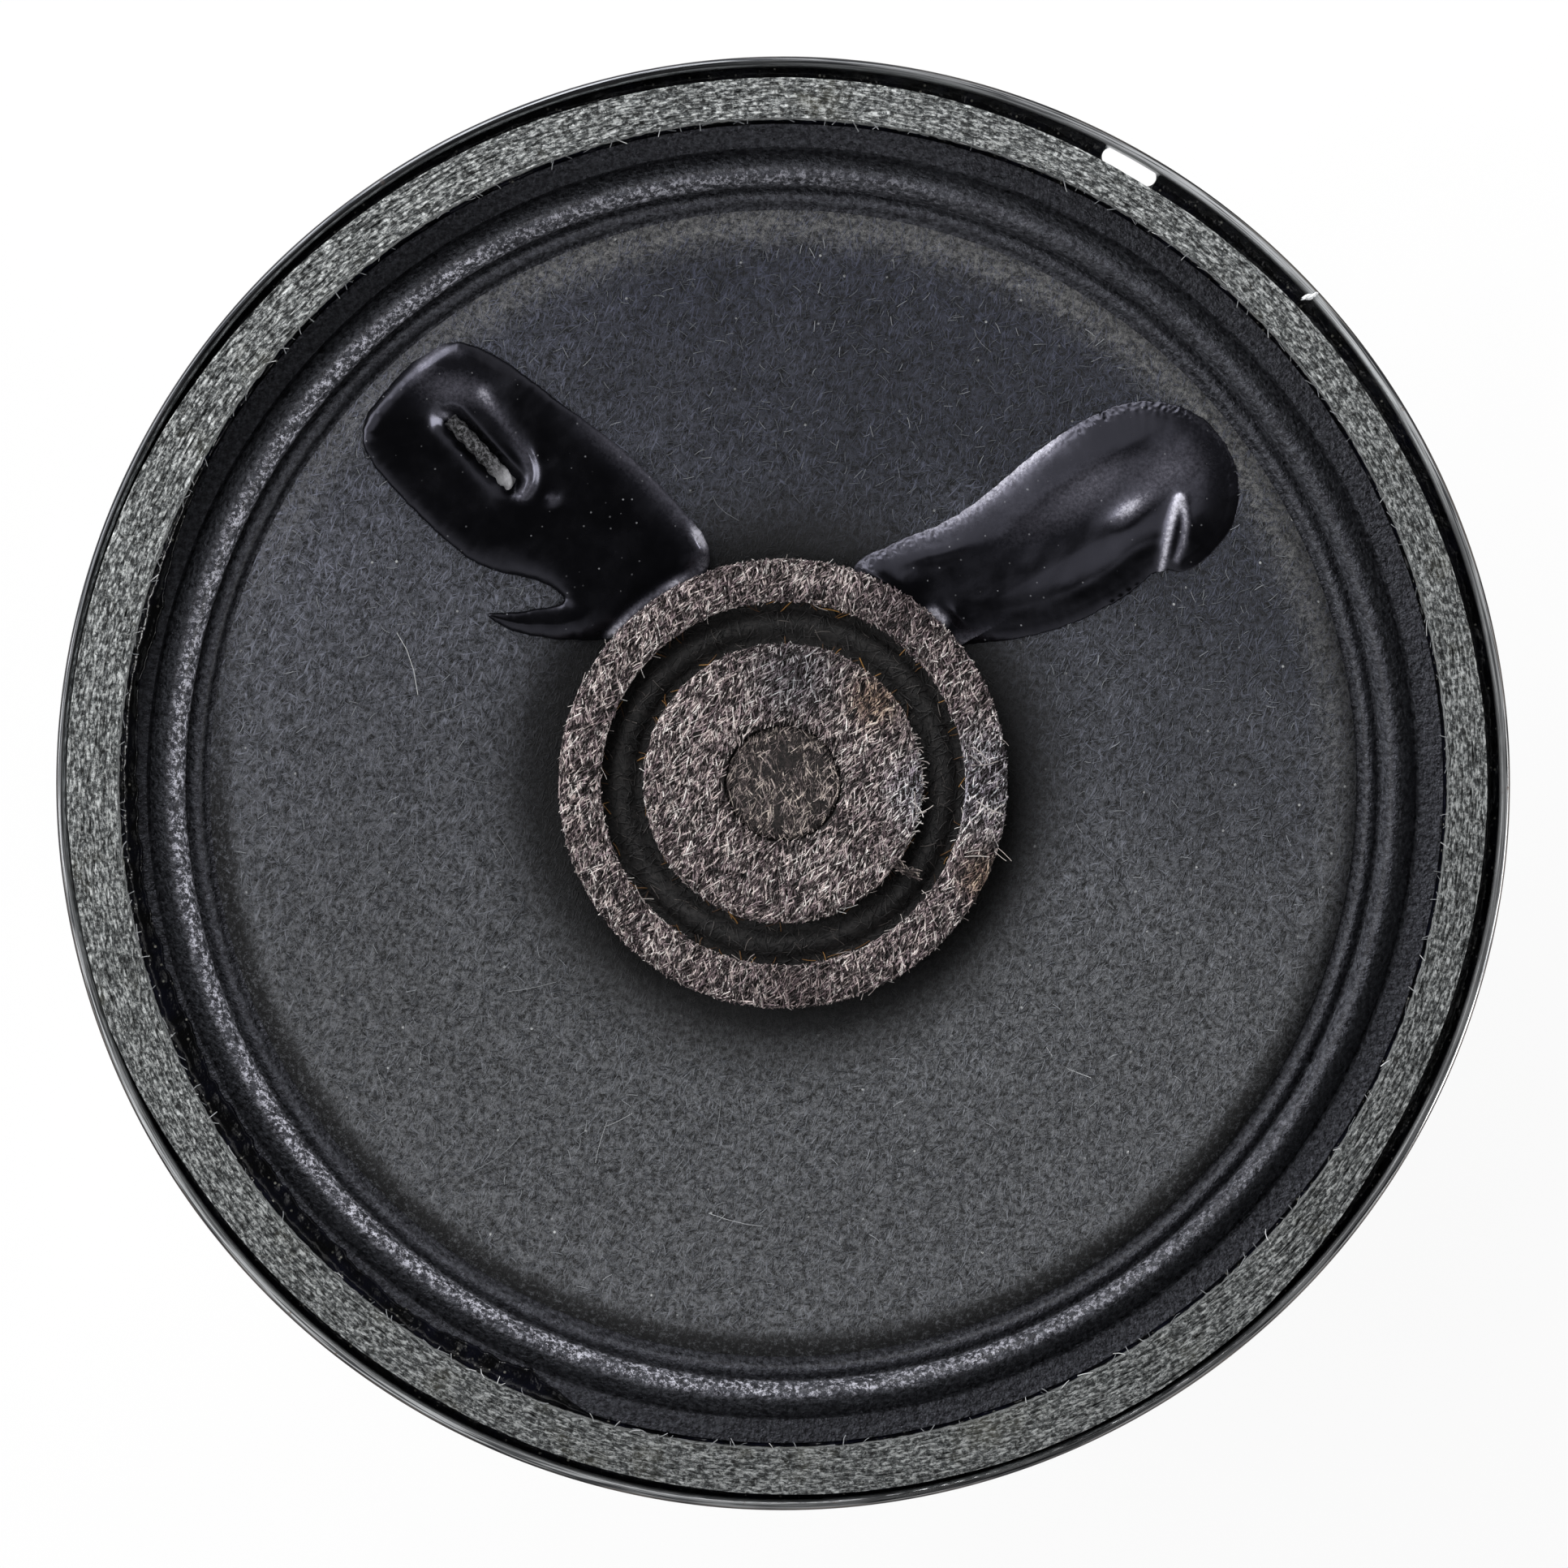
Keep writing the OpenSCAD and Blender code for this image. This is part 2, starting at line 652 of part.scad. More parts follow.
// Curve that leaves the cone and reaches the solder upright; slack is the share of the
// fall that it keeps above the solder
function lead_curve(start, end, slack) = let(fall = start[2] - end[2], out = end[0] < 0 ? -1 : 1)
    [start, start - [0, 0, 0.46 * fall],
     end + [0.7 * out * lead_d, -0.5 * lead_d, slack * fall], end];

module tinsel_lead_left() {
    color("#c8b9a0") lead(lead_curve(lead_start(left_angle, stitch_left_r), lead_end(-1), 0.52));
}

module tinsel_lead_right() {
    color("#c8b9a0") lead(lead_curve(lead_start(right_angle, stitch_right_r), lead_end(1), 0.78));
}

// Moving system

module cone() {
    face = concat(rounded([[glue_r, neck_z - neck_h], [glue_r, neck_z], [cap_r, cone_z(cap_r)]],
        [0, 0.35, 0]), cone_face(cap_r + 1));
    color("#33353a") difference() {
        turned(wall(face, cone_t));
        both_coil_wires(fit);
        for (p = [[left_angle, stitch_left_r], [right_angle, stitch_right_r]])
            translate(polar(p[1], p[0], 0)) cylinder(h = gasket_top, r = lead_d / 2 + 3 * fit);
    }
}

module coil_former() {
    color("#b08d57") ring(former_r, former_out_r, winding_z - 0.2, former_top);
}

module voice_coil() {
    color("#8c4a23") ring(former_out_r + bond, winding_r, winding_z, winding_top);
}

// Fillet of cement between the former and the cone's front face
module neck_cement() {
    inner = former_out_r + bond;
    width = 0.8 * neck_room;
    color("#1a1613") difference() {
        turned([[inner, neck_z + 2 * bond], [inner + 0.1, cone_z(inner + 0.1) + 2 * bond],
            [inner + width, cone_z(inner + width) + 2 * bond], [inner, former_top]]);
        both_coil_wires(fit);
    }
}

module coil_wire_left() { color("#8c4a23") coil_wire(left_angle, stitch_left_r, 0); }

module coil_wire_right() { color("#8c4a23") coil_wire(right_angle, stitch_right_r, 0); }

module lead_stitch_left() { color("#a9a9a9") stitch(left_angle, stitch_left_r, 0); }

module lead_stitch_right() { color("#a9a9a9") stitch(right_angle, stitch_right_r, 0); }

// The left patch leaves the stitch bare in an open pit
module dope_left() {
    pit_w = 2.4 * stitch_d;
    half = (stitch_len - stitch_d) / 2;
    color("#0a0a0c") difference() {
        dope(left_angle, left_blob);
        rotate(left_angle) translate([stitch_left_r, 0, 0]) {
            translate([-half, -pit_w / 2, 0]) cube([2 * half, pit_w, gasket_top]);
            for (x = [-half, half]) translate([x, 0, 0]) cylinder(h = gasket_top, d = pit_w);
        }
    }
}

// The right patch covers its stitch
module dope_right() {
    color("#0a0a0c") difference() {
        dope(right_angle, right_blob);
        stitch(right_angle, stitch_right_r, fit);
    }
}

// Black moulded cap with a roll in its channel and a skirt that sits on the cone
module dust_cap() {
    color("#121214") difference() {
        turned(concat([[0, cap_under], [0, cap_top]],
            half_wave(channel_r - channel_roll_w / 2, channel_r + channel_roll_w / 2,
                cap_top, channel_roll_h, 8),
            [[cap_r, cap_top], [cap_r, cone_z(cap_r) + bond],
             [skirt_r, cone_z(skirt_r) + bond], [skirt_r, cap_under]]));
        both_coil_wires(fit);
    }
}

module felt_ring() {
    color("#7d7372") ring(felt_in_r, cap_r, felt_z, felt_z + felt_t);
}

module felt_disc() {
    color("#7d7372") difference() {
        translate([0, 0, felt_z]) cylinder(h = felt_t, r = disc_r);
        translate([0, 0, felt_z + felt_t - dimple_d]) cylinder(h = past, r = dimple_r);
    }
}

yoke_pot();
magnet_slug();
pole_tip();
top_plate();
plate_rivets();
basket();
gasket_ring();
gasket_cement();
rim_cement();
surround();
spider();
terminal_board();
board_rivet();
terminal_lug_left();
terminal_lug_right();
lug_rivets();
solder_joints();
tinsel_lead_left();
tinsel_lead_right();
cone();
coil_former();
voice_coil();
neck_cement();
coil_wire_left();
coil_wire_right();
lead_stitch_left();
lead_stitch_right();
dope_left();
dope_right();
dust_cap();
felt_ring();
felt_disc();
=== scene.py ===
import math

import bmesh
import bpy
import numpy as np
from mathutils import Matrix, Vector, geometry, noise


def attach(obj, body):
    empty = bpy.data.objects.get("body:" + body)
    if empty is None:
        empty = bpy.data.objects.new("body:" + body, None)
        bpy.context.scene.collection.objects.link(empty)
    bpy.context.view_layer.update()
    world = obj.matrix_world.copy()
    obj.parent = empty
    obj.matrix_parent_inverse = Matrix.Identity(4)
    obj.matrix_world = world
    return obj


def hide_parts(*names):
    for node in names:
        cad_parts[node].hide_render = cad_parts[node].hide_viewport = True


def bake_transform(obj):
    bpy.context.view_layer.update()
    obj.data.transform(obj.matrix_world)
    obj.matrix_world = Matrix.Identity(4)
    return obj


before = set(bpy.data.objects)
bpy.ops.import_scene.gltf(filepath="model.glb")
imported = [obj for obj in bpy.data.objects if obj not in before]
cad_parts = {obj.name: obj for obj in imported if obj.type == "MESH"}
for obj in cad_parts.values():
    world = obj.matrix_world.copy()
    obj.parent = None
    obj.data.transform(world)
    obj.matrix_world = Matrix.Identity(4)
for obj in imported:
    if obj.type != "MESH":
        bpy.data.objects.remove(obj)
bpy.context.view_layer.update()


# Camera, floor and lamps.
# The loudspeaker lies on its magnet on a pale sweep, and the camera looks straight down its
# axis. A soft lamp stands above the top of the picture, a weaker one at its right.

mm = 0.001
lip_top_z = 22.65
view_from = 400
half_view = 30.72
aside_x, aside_y = 0.035, -0.025

camera = bpy.data.objects.new("camera", bpy.data.cameras.new("camera"))
bpy.context.scene.collection.objects.link(camera)
bpy.context.scene.camera = camera
camera.data.sensor_width = 36
camera.data.lens = camera.data.sensor_width / 2 * view_from / half_view
camera.data.clip_start = 0.01
camera.location = (aside_x * mm, aside_y * mm, (lip_top_z + view_from) * mm)
bpy.context.scene.view_settings.view_transform = "Standard"


def colour(code):
    """Turns an sRGB hex colour into the linear one that a shader takes."""
    parts = [int(code[i:i + 2], 16) / 255 for i in (1, 3, 5)]
    return [p / 12.92 if p <= 0.04045 else ((p + 0.055) / 1.055) ** 2.4 for p in parts] + [1]


def feed(node, inputs):
    """Sets a node's inputs: plain values, or the sockets or nodes that feed them."""
    for key, value in inputs.items():
        if isinstance(value, bpy.types.Node):
            value = next(socket for socket in value.outputs if socket.enabled)
        if isinstance(value, bpy.types.NodeSocket):
            node.id_data.links.new(value, node.inputs[key])
        else:
            node.inputs[key].default_value = value


def add(tree, kind, inputs=None, stops=(), **settings):
    """Adds one node with its settings and inputs; stops are a ramp's places and colours.

    A kind without Node in its name is a shader node's.
    """
    made = tree.nodes.new(kind if "Node" in kind else "ShaderNode" + kind)
    for name, value in settings.items():
        setattr(made, name, value)
    if stops:
        ramp = made.color_ramp.elements
        for end in (0, -1):
            ramp[end].position, ramp[end].color = stops[end][0], colour(stops[end][1])
        for position, code in stops[1:-1]:
            ramp.new(position).color = colour(code)
    feed(made, inputs or {})
    return made


def new_material(name):
    """A material with its node tree and its main shader."""
    material = bpy.data.materials.new(name)
    material.use_nodes = True
    return material, material.node_tree, material.node_tree.nodes["Principled BSDF"]


def in_mm(tree):
    """Places on the piece in millimetres, so that patterns are given in real sizes."""
    place = add(tree, "TexCoord").outputs["Object"]
    return add(tree, "VectorMath", {0: place, "Scale": 1 / mm}, operation="SCALE")


def mottled(tree, place, size, detail, roughness, stops):
    """A pattern that changes over about size mm, and the tones that its stops give it."""
    pattern = add(tree, "TexNoise", {
        "Vector": place, "Scale": 1 / size, "Detail": detail, "Roughness": roughness})
    return pattern, add(tree, "ValToRGB", {0: pattern}, stops=stops)


def facing(tree, way, towards, start, end, most=1.0, **ease):
    """How far each direction turns towards one: 0 at start, the most at end."""
    turned = add(tree, "VectorMath", {0: way, 1: towards}, operation="DOT_PRODUCT")
    return add(tree, "MapRange", {
        "Value": turned, "From Min": start, "From Max": end, "To Max": most}, **ease)


def new_mesh(name, points, faces=(), edges=()):
    """A mesh through points in mm."""
    mesh = bpy.data.meshes.new(name)
    mesh.from_pydata((np.array(points, float) * mm).tolist(), list(edges), list(faces))
    return mesh


def put(data):
    """Places a mesh or lamp in the scene as an object of its name, at the origin."""
    piece = bpy.data.objects.new(data.name, data)
    bpy.context.scene.collection.objects.link(piece)
    return piece


# White paper: matt and pale. The camera and mirror rays see it lit evenly, as a sweep is,
# and a share of its own shading stays, so that it keeps the shadow.
material, tree, shader = new_material("white_paper_sweep")
_, paper = mottled(tree, in_mm(tree), 5.5, 3.0, 0.5, [(0.0, "#f4f4f3"), (1.0, "#fbfbfb")])
feed(shader, {"Base Color": paper, "Roughness": 0.9})
glow = add(tree, "Emission", {"Strength": 1.0})
rays = add(tree, "LightPath")
seen = add(tree, "Math", {
    0: rays.outputs["Is Camera Ray"], 1: rays.outputs["Is Glossy Ray"]}, operation="MAXIMUM")
seen = add(tree, "Math", {0: seen, 1: rays.outputs["Is Transmission Ray"]}, operation="MAXIMUM")
share = add(tree, "Math", {0: seen, 1: 0.88}, operation="MULTIPLY")
blend = add(tree, "MixShader", {0: share, 1: shader, 2: glow})
feed(tree.nodes["Material Output"], {"Surface": blend})

floor_half = 3000
corners = [(-1, -1), (1, -1), (1, 1), (-1, 1)]
mesh = new_mesh("floor", [(x * floor_half, y * floor_half, 0) for x, y in corners],
                [(0, 1, 2, 3)])
mesh.materials.append(material)
floor = put(mesh)

# Pale walls up to a third of the way, then a dim ceiling with one pale reflector and a long
# window at the left, so that black gloss shows a soft sheen, bright edges and deep black.
world = bpy.data.worlds.new("studio_walls")
bpy.context.scene.world = world
world.use_nodes = True
tree = world.node_tree
eased = {"interpolation_type": "SMOOTHSTEP"}
way = add(tree, "TexCoord").outputs["Generated"]
height = add(tree, "SeparateXYZ", {0: way}).outputs["Z"]
walls = add(tree, "MapRange", {
    "Value": height, "From Min": 0.3, "From Max": 0.68, "To Min": 0.8, "To Max": 0.04}, **eased)
reflector = facing(tree, way, (-0.67, 0.0, 0.74), 0.82, 0.95, 1.15, **eased)
level = add(tree, "Math", {0: walls, 1: reflector}, operation="ADD")
level_way = add(tree, "VectorMath", {0: way, 1: (1, 1, 0)}, operation="MULTIPLY")
level_way = add(tree, "VectorMath", {0: level_way}, operation="NORMALIZE")
window = facing(tree, level_way, (-0.99, 0.14, 0), 0.76, 0.88, 4.0, **eased)
sill = add(tree, "MapRange", {"Value": height, "From Min": 0.2, "From Max": 0.28}, **eased)
top = add(tree, "MapRange", {"Value": height, "From Min": 0.6, "From Max": 0.46}, **eased)
window = add(tree, "Math", {0: window, 1: sill}, operation="MULTIPLY")
level = add(tree, "Math", {0: window, 1: top, 2: level}, operation="MULTIPLY_ADD")
feed(tree.nodes["Background"], {"Strength": level, "Color": (1, 1, 1, 1)})


def lamp(name, azimuth, zenith, distance, width, share):
    """A soft box aimed at the cone, giving this share of the light on a level surface."""
    a, z = math.radians(azimuth), math.radians(zenith)
    light = bpy.data.lights.new(name, "AREA")
    light.shape = "SQUARE"
    light.size = width
    light.energy = share * math.pi ** 2 * distance ** 2 / math.cos(z)
    box = put(light)
    aim = Vector((math.sin(z) * math.cos(a), math.sin(z) * math.sin(a), math.cos(z)))
    box.location = aim * distance
    box.rotation_euler = aim.to_track_quat("Z", "Y").to_euler()


lamp("key_soft_box", 113, 61, 0.3, 0.2, 0.41)
lamp("fill_soft_box", -16, 74, 0.36, 0.14, 0.17)


# Magnet: pot, slug, pole tip and top plate.
# The pot and plate are turned from mild steel and zinc plated, the slug is cast alnico. They are
# stacked and cemented, and the basket is riveted to the plate.


def shade(mesh, angle=32):
    """Smooth faces with hard edges where they turn by more than the angle."""
    mesh.shade_smooth()
    mesh.set_sharp_from_angle(angle=math.radians(angle))


def settled(piece, layers=False):
    """Turns what a piece's modifiers make of it into its own mesh."""
    depsgraph = bpy.context.evaluated_depsgraph_get()
    piece.data = bpy.data.meshes.new_from_object(
        piece.evaluated_get(depsgraph), preserve_all_data_layers=layers, depsgraph=depsgraph)
    piece.modifiers.clear()
    return piece


def from_cad(name, node, body, material, angle=32, round_edges=0.0):
    """A merged, smoothly shaded copy of a CAD solid, with its edges broken, that stands for it."""
    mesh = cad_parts[node].data.copy()
    mesh.materials.clear()
    work = bmesh.new()
    work.from_mesh(mesh)
    bmesh.ops.remove_doubles(work, verts=work.verts, dist=0.002 * mm)
    if round_edges:
        bmesh.ops.dissolve_limit(work, angle_limit=math.radians(0.4), verts=work.verts,
                                 edges=work.edges)
    work.to_mesh(mesh)
    work.free()
    mesh.materials.append(material)
    mesh.name = name
    piece = put(mesh)
    if "custom_normal" in mesh.attributes:
        mesh.attributes.remove(mesh.attributes["custom_normal"])
    if round_edges:
        bevel = piece.modifiers.new("broken_edges", "BEVEL")
        bevel.width = round_edges * mm
        bevel.segments = 2
        bevel.limit_method = "ANGLE"
        bevel.angle_limit = math.radians(50)
        settled(piece)
    shade(piece.data, angle)
    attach(piece, body)
    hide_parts(node)
    return piece


def plated(name, base, worn, roughness, grain_mm):
    """Zinc or nickel plate on steel: a metal with clouds where it has dulled and fine grain."""
    material, tree, shader = new_material(name)
    place = in_mm(tree)
    cloud, tone = mottled(tree, place, 3.4, 5.0, 0.6, [(0.28, worn), (0.7, base)])
    fine = add(tree, "TexNoise", {
        "Vector": place, "Scale": 1 / grain_mm, "Detail": 4.0, "Roughness": 0.65})
    dull = add(tree, "MapRange", {
        "Value": cloud, "From Min": 0.3, "From Max": 0.7, "To Min": roughness + 0.12,
        "To Max": roughness - 0.05})
    relief = add(tree, "Bump", {"Height": fine, "Strength": 0.12, "Distance": 0.02 * mm})
    feed(shader, {"Base Color": tone, "Metallic": 1.0, "Roughness": dull, "Normal": relief})
    return material


# Turned mild steel under clear zinc plate: pale grey, satin, clouded by handling.
zinc = plated("zinc_plated_steel", "#b2b4b7", "#9c9ea0", 0.34, 0.12)
# Cast alnico: dark grey, granular and barely shiny.
alnico = plated("cast_alnico", "#7a7c80", "#55575b", 0.55, 0.2)

from_cad("pot_turned", "yoke_pot", "chassis", zinc)
from_cad("slug_cast", "magnet_slug", "chassis", alnico)
from_cad("pole_turned", "pole_tip", "chassis", zinc)
from_cad("plate_turned", "top_plate", "chassis", zinc)


# Basket: one steel pressing from the seat on the magnet out to the rim's lip.
# It is drawn from sheet, pierced with four windows and a slot, then zinc plated. Its edge was
# rolled by the trimming tool, and a little rust has started where the plating is thin.

sheet = 0.4
seat_top, shelf_top, floor_top, flange_top = 12.8, 14.5, 15.65, 21.05
lip_r, rivet_circle_r, slot_angle = 28.1, 9.9, 60.7


def normal_right(a, b):
    """Unit normal on the right of the step from a to b."""
    step = (b - a) / np.linalg.norm(b - a)
    return np.array([step[1], -step[0]])


def moved(path, d):
    """A path of points moved by d to its right, with mitred corners."""
    path = np.array(path, float)
    last = len(path) - 1
    out = []
    for i, point in enumerate(path):
        before = normal_right(path[max(i - 1, 0)], path[max(i, 1)])
        after = normal_right(path[min(i, last - 1)], path[min(i + 1, last)])
        middle = (before + after) / np.linalg.norm(before + after)
        out.append(point + d * middle / (middle @ before))
    return np.array(out)


def rounded(path, starts, steps=8):
    """A path whose corner i is turned into a curve that starts starts[i] before it."""
    path = np.array(path, float)
    out = []
    for i, (corner, d) in enumerate(zip(path, starts)):
        if not d:
            out.append(corner)
            continue
        a = corner + d * (path[i - 1] - corner) / np.linalg.norm(path[i - 1] - corner)
        b = corner + d * (path[i + 1] - corner) / np.linalg.norm(path[i + 1] - corner)
        for t in np.linspace(0, 1, steps + 1):
            out.append((1 - t) ** 2 * a + 2 * t * (1 - t) * corner + t ** 2 * b)
    return np.array(out)


def wall(path, t):
    """Closed outline of a wall of thickness t on the right of a path."""
    return np.concatenate([path, moved(path, t)[::-1]])


def ended(tree, into, out, shape):
    """Ends a node tree: real geometry, in the material that its Finish input names."""
    real = add(tree, "GeometryNodeRealizeInstances", {0: shape})
    feed(out, {0: add(tree, "GeometryNodeSetMaterial", {0: real, "Material": into["Finish"]})})
    return tree


def spun(name, outline, steps=360, shape=None, start=0.0, sweep=360.0):
    """Spins a closed outline of (radius, height) pairs, in mm, about the axis.

    shape, where given, changes the points (x, y, z in mm) before they are used.
    A part turn gets its two ends closed.
    """
    outline = np.array(outline, float)
    count = len(outline)
    full = sweep >= 360
    angles = np.radians(start + sweep * np.arange(steps if full else steps + 1) / steps)
    r, z = outline[:, 0], outline[:, 1]
    points = np.stack([np.outer(np.cos(angles), r), np.outer(np.sin(angles), r),
                       np.tile(z, (len(angles), 1))], axis=2).reshape(-1, 3)
    if shape:
        points = shape(points)
    rings = len(angles)
    faces = []
    for i in range(steps):
        a, b = i * count, (i + 1) % rings * count
        for k in range(count):
            n = (k + 1) % count
            faces.append((a + k, b + k, b + n, a + n))
    if not full:
        faces.append(tuple(range(count)))
        faces.append(tuple(range((rings - 1) * count, rings * count))[::-1])
    mesh = new_mesh(name, points, faces)
    work = bmesh.new()
    work.from_mesh(mesh)
    bmesh.ops.remove_doubles(work, verts=work.verts, dist=0.0005 * mm)
    bmesh.ops.recalc_face_normals(work, faces=work.faces)
    work.to_mesh(mesh)
    work.free()
    return mesh


def bean(r, w, span, sides=14):
    """Flat bean outline on a circle of radius r: round ends, centred on +X."""
    half = math.radians(span / 2)
    arc = np.linspace(-half, half, sides + 1)
    turn = np.linspace(0, math.pi, sides + 1)[1:-1]
    outer = np.stack([np.cos(arc), np.sin(arc)], 1) * (r + w / 2)
    inner = np.stack([np.cos(-arc), np.sin(-arc)], 1) * (r - w / 2)
    far = np.array([math.cos(half), math.sin(half)]) * r
    near = far * (1, -1)
    far_end = far + w / 2 * np.stack([np.cos(half + turn), np.sin(half + turn)], 1)
    near_end = near + w / 2 * np.stack([np.cos(math.pi - half + turn),
                                        np.sin(math.pi - half + turn)], 1)
    return np.concatenate([outer, far_end, inner, near_end])


def prism(name, outline, z0, z1):
    """A flat outline in mm drawn up from z0 to z1."""
    count = len(outline)
    faces = [tuple(range(count))[::-1], tuple(range(count, 2 * count))]
    faces += [(k, (k + 1) % count, (k + 1) % count + count, k + count) for k in range(count)]
    return new_mesh(name, [(x, y, z) for z in (z0, z1) for x, y in outline], faces)


def new_growth(name, **sockets):
    """A tree that grows geometry, the sockets of its inputs of these kinds, and its output."""
    tree = bpy.data.node_groups.new(name, "GeometryNodeTree")
    for title, kind in sockets.items():
        tree.interface.new_socket(title, in_out="INPUT", socket_type="NodeSocket" + kind)
    tree.interface.new_socket("Geometry", in_out="OUTPUT", socket_type="NodeSocketGeometry")
    return tree, tree.nodes.new("NodeGroupInput").outputs, tree.nodes.new("NodeGroupOutput")


def grown(name, tree, mesh, values):
    """Runs a node tree on a mesh and keeps the result as a plain mesh."""
    piece = put(mesh or bpy.data.meshes.new(name))
    growth = piece.modifiers.new(name, "NODES")
    growth.node_group = tree
    for item in tree.interface.items_tree:
        if item.item_type == "SOCKET" and item.in_out == "INPUT" and item.name in values:
            growth[item.identifier] = values[item.name]
    return settled(piece, layers=True)


# Copies of one shape at equal angles round the axis: window punches and rivets.
tree, into, out = new_growth("around_axis", One="Object", Count="Int", Start="Float",
                             Finish="Material")
one = add(tree, "GeometryNodeObjectInfo", {"Object": into["One"], "As Instance": True})
spots = add(tree, "GeometryNodePoints", {"Count": into["Count"]})
number = add(tree, "GeometryNodeInputIndex")
pitch = add(tree, "Math", {0: 2 * math.pi, 1: into["Count"]}, operation="DIVIDE")
turn = add(tree, "Math", {0: number, 1: pitch, 2: into["Start"]}, operation="MULTIPLY_ADD")
tilt = add(tree, "CombineXYZ", {"Z": turn})
tilt = add(tree, "FunctionNodeEulerToRotation", {0: tilt})
copies = add(tree, "GeometryNodeInstanceOnPoints", {
    "Points": spots, "Instance": one.outputs["Geometry"], "Rotation": tilt})
around_axis = ended(tree, into, out, copies)


def round_axis(tree, place):
    """How far each point is from the axis, in mm, and its direction away from it."""
    flat = add(tree, "VectorMath", {0: place, 1: (1, 1, 0)}, operation="MULTIPLY")
    return (add(tree, "VectorMath", {0: flat}, operation="LENGTH"),
            add(tree, "VectorMath", {0: flat}, operation="NORMALIZE"))


def patches(tree, place, size, detail, roughness, start, end, most=1.0, least=0.0):
    """Shares from least to most that change over about size mm."""
    cloud = add(tree, "TexNoise", {
        "Vector": place, "Scale": 1 / size, "Detail": detail, "Roughness": roughness})
    return add(tree, "MapRange", {
        "Value": cloud, "From Min": start, "From Max": end, "To Min": least, "To Max": most})


def over(tree, under, code, *shares, way="MIX"):
    """A colour laid over the one under it, where all of its shares say so."""
    share = shares[0]
    for other in shares[1:]:
        share = add(tree, "Math", {0: share, 1: other}, operation="MULTIPLY")
    return add(tree, "Mix", {0: share, 6: under, 7: colour(code)},
               data_type="RGBA", blend_type=way)


# Zinc plate on drawn sheet: pale and satin, with fine rings from the spinning tool. The rim has
# rust specks, and its outside is painted dark brown, partly tarnish and partly painted shade; it
# is also painted a dull dark grey at its upper left.
basket_zinc, tree, shader = new_material("zinc_plated_sheet")
place = in_mm(tree)
radius, way = round_axis(tree, place)
edge = add(tree, "MapRange", {"Value": radius, "From Min": 27.9, "From Max": 28.3})
cloud, tint = mottled(tree, place, 3.0, 6.0, 0.62, [(0.3, "#babcbe"), (0.6, "#d6d8da")])
rust = patches(tree, place, 0.9, 5.0, 0.7, 0.64, 0.70)
rust = add(tree, "Math", {0: rust, 1: edge}, operation="MULTIPLY")
tint = over(tree, tint, "#6a4a2c", rust)
# The lip's outside is painted dark brown, partly tarnish and partly painted shade
outside = add(tree, "MapRange", {
    "Value": radius, "From Min": 28.37, "From Max": 28.44, "To Max": 0.9})
tint = over(tree, tint, "#40352c", outside)
# The lip is painted a dull dark grey towards the upper left
tint = over(tree, tint, "#43454a", facing(tree, way, (-0.64, 0.77, 0), 0.25, 0.85, 0.8), edge)
# At the right, black cement crept up the inner half of the lip and over it
inner = add(tree, "MapRange", {"Value": radius, "From Min": 28.36, "From Max": 28.24})
right = facing(tree, way, (0.98, -0.2, 0), 0.72, 0.86, 0.96)
crept = add(tree, "Math", {0: inner, 1: right}, operation="MULTIPLY")
crept = add(tree, "Math", {0: crept, 1: edge}, operation="MULTIPLY")
tint = over(tree, tint, "#08080a", crept)
covered = add(tree, "Math", {0: rust, 1: crept}, operation="MAXIMUM")
bare = add(tree, "MapRange", {"Value": covered, "To Min": 1.0, "To Max": 0.15})
# The tool left its rings open in places: they follow the rim, 0.05 mm apart, and fade along it
rings = add(tree, "Math", {0: radius, 1: 1 / 0.05}, operation="MULTIPLY")
chatter = add(tree, "VectorMath", {0: way, "Scale": 9.0}, operation="SCALE")
rings = add(tree, "TexNoise", {
    "Vector": chatter, "W": rings, "Scale": 1.0, "Detail": 2.0}, noise_dimensions="4D")
furrow = add(tree, "MapRange", {"Value": rings, "From Min": 0.54, "From Max": 0.4, "To Max": 0.9})
tint = over(tree, tint, "#25272b", furrow, edge)
dull = add(tree, "MapRange", {
    "Value": cloud, "From Min": 0.3, "From Max": 0.7, "To Min": 0.34, "To Max": 0.17})
# Two sides of the lip were scuffed white by handling, and scatter the light
scuffed = add(tree, "VectorMath", {0: way, 1: (0.72, 0.69, 0)}, operation="DOT_PRODUCT")
scuffed = add(tree, "Math", {0: scuffed}, operation="ABSOLUTE")
scuffed = add(tree, "MapRange", {
    "Value": scuffed, "From Min": 0.6, "From Max": 0.95, "To Max": 0.42})
scuffed = add(tree, "Math", {0: scuffed, 1: edge, 2: dull}, operation="MULTIPLY_ADD")
relief = add(tree, "Bump", {"Height": rings, "Strength": 0.08, "Distance": 0.01 * mm})
feed(shader, {"Base Color": tint, "Metallic": bare, "Roughness": scuffed, "Normal": relief})

inside = rounded([(8.2, seat_top), (11.8, seat_top), (12.1, shelf_top), (14.9, shelf_top),
                  (15.35, floor_top), (22.6, floor_top), (25.6, flange_top),
                  (lip_r, flange_top), (lip_r, lip_top_z - sheet / 2)],
                 [0, 0.62, 0.62, 0.55, 0.55, 0.62, 0.62, 0.25, 0])
lip = [(lip_r + sheet / 2 - sheet / 2 * math.cos(a), lip_top_z - sheet / 2
        + sheet / 2 * math.sin(a)) for a in np.linspace(0, math.pi, 13)[1:-1]]
basket = put(spun("basket_pressing", np.concatenate(
    [inside, lip, moved(inside, sheet)[::-1]])))
punches = [put(prism("window_punch", bean(18.94, 5.88, 40), 14, 17)), put(prism(
    "rivet_hole", [(rivet_circle_r + 0.63 * math.cos(a), 0.63 * math.sin(a))
                   for a in np.linspace(0, 2 * math.pi, 33)[:-1]], 12, 14))]
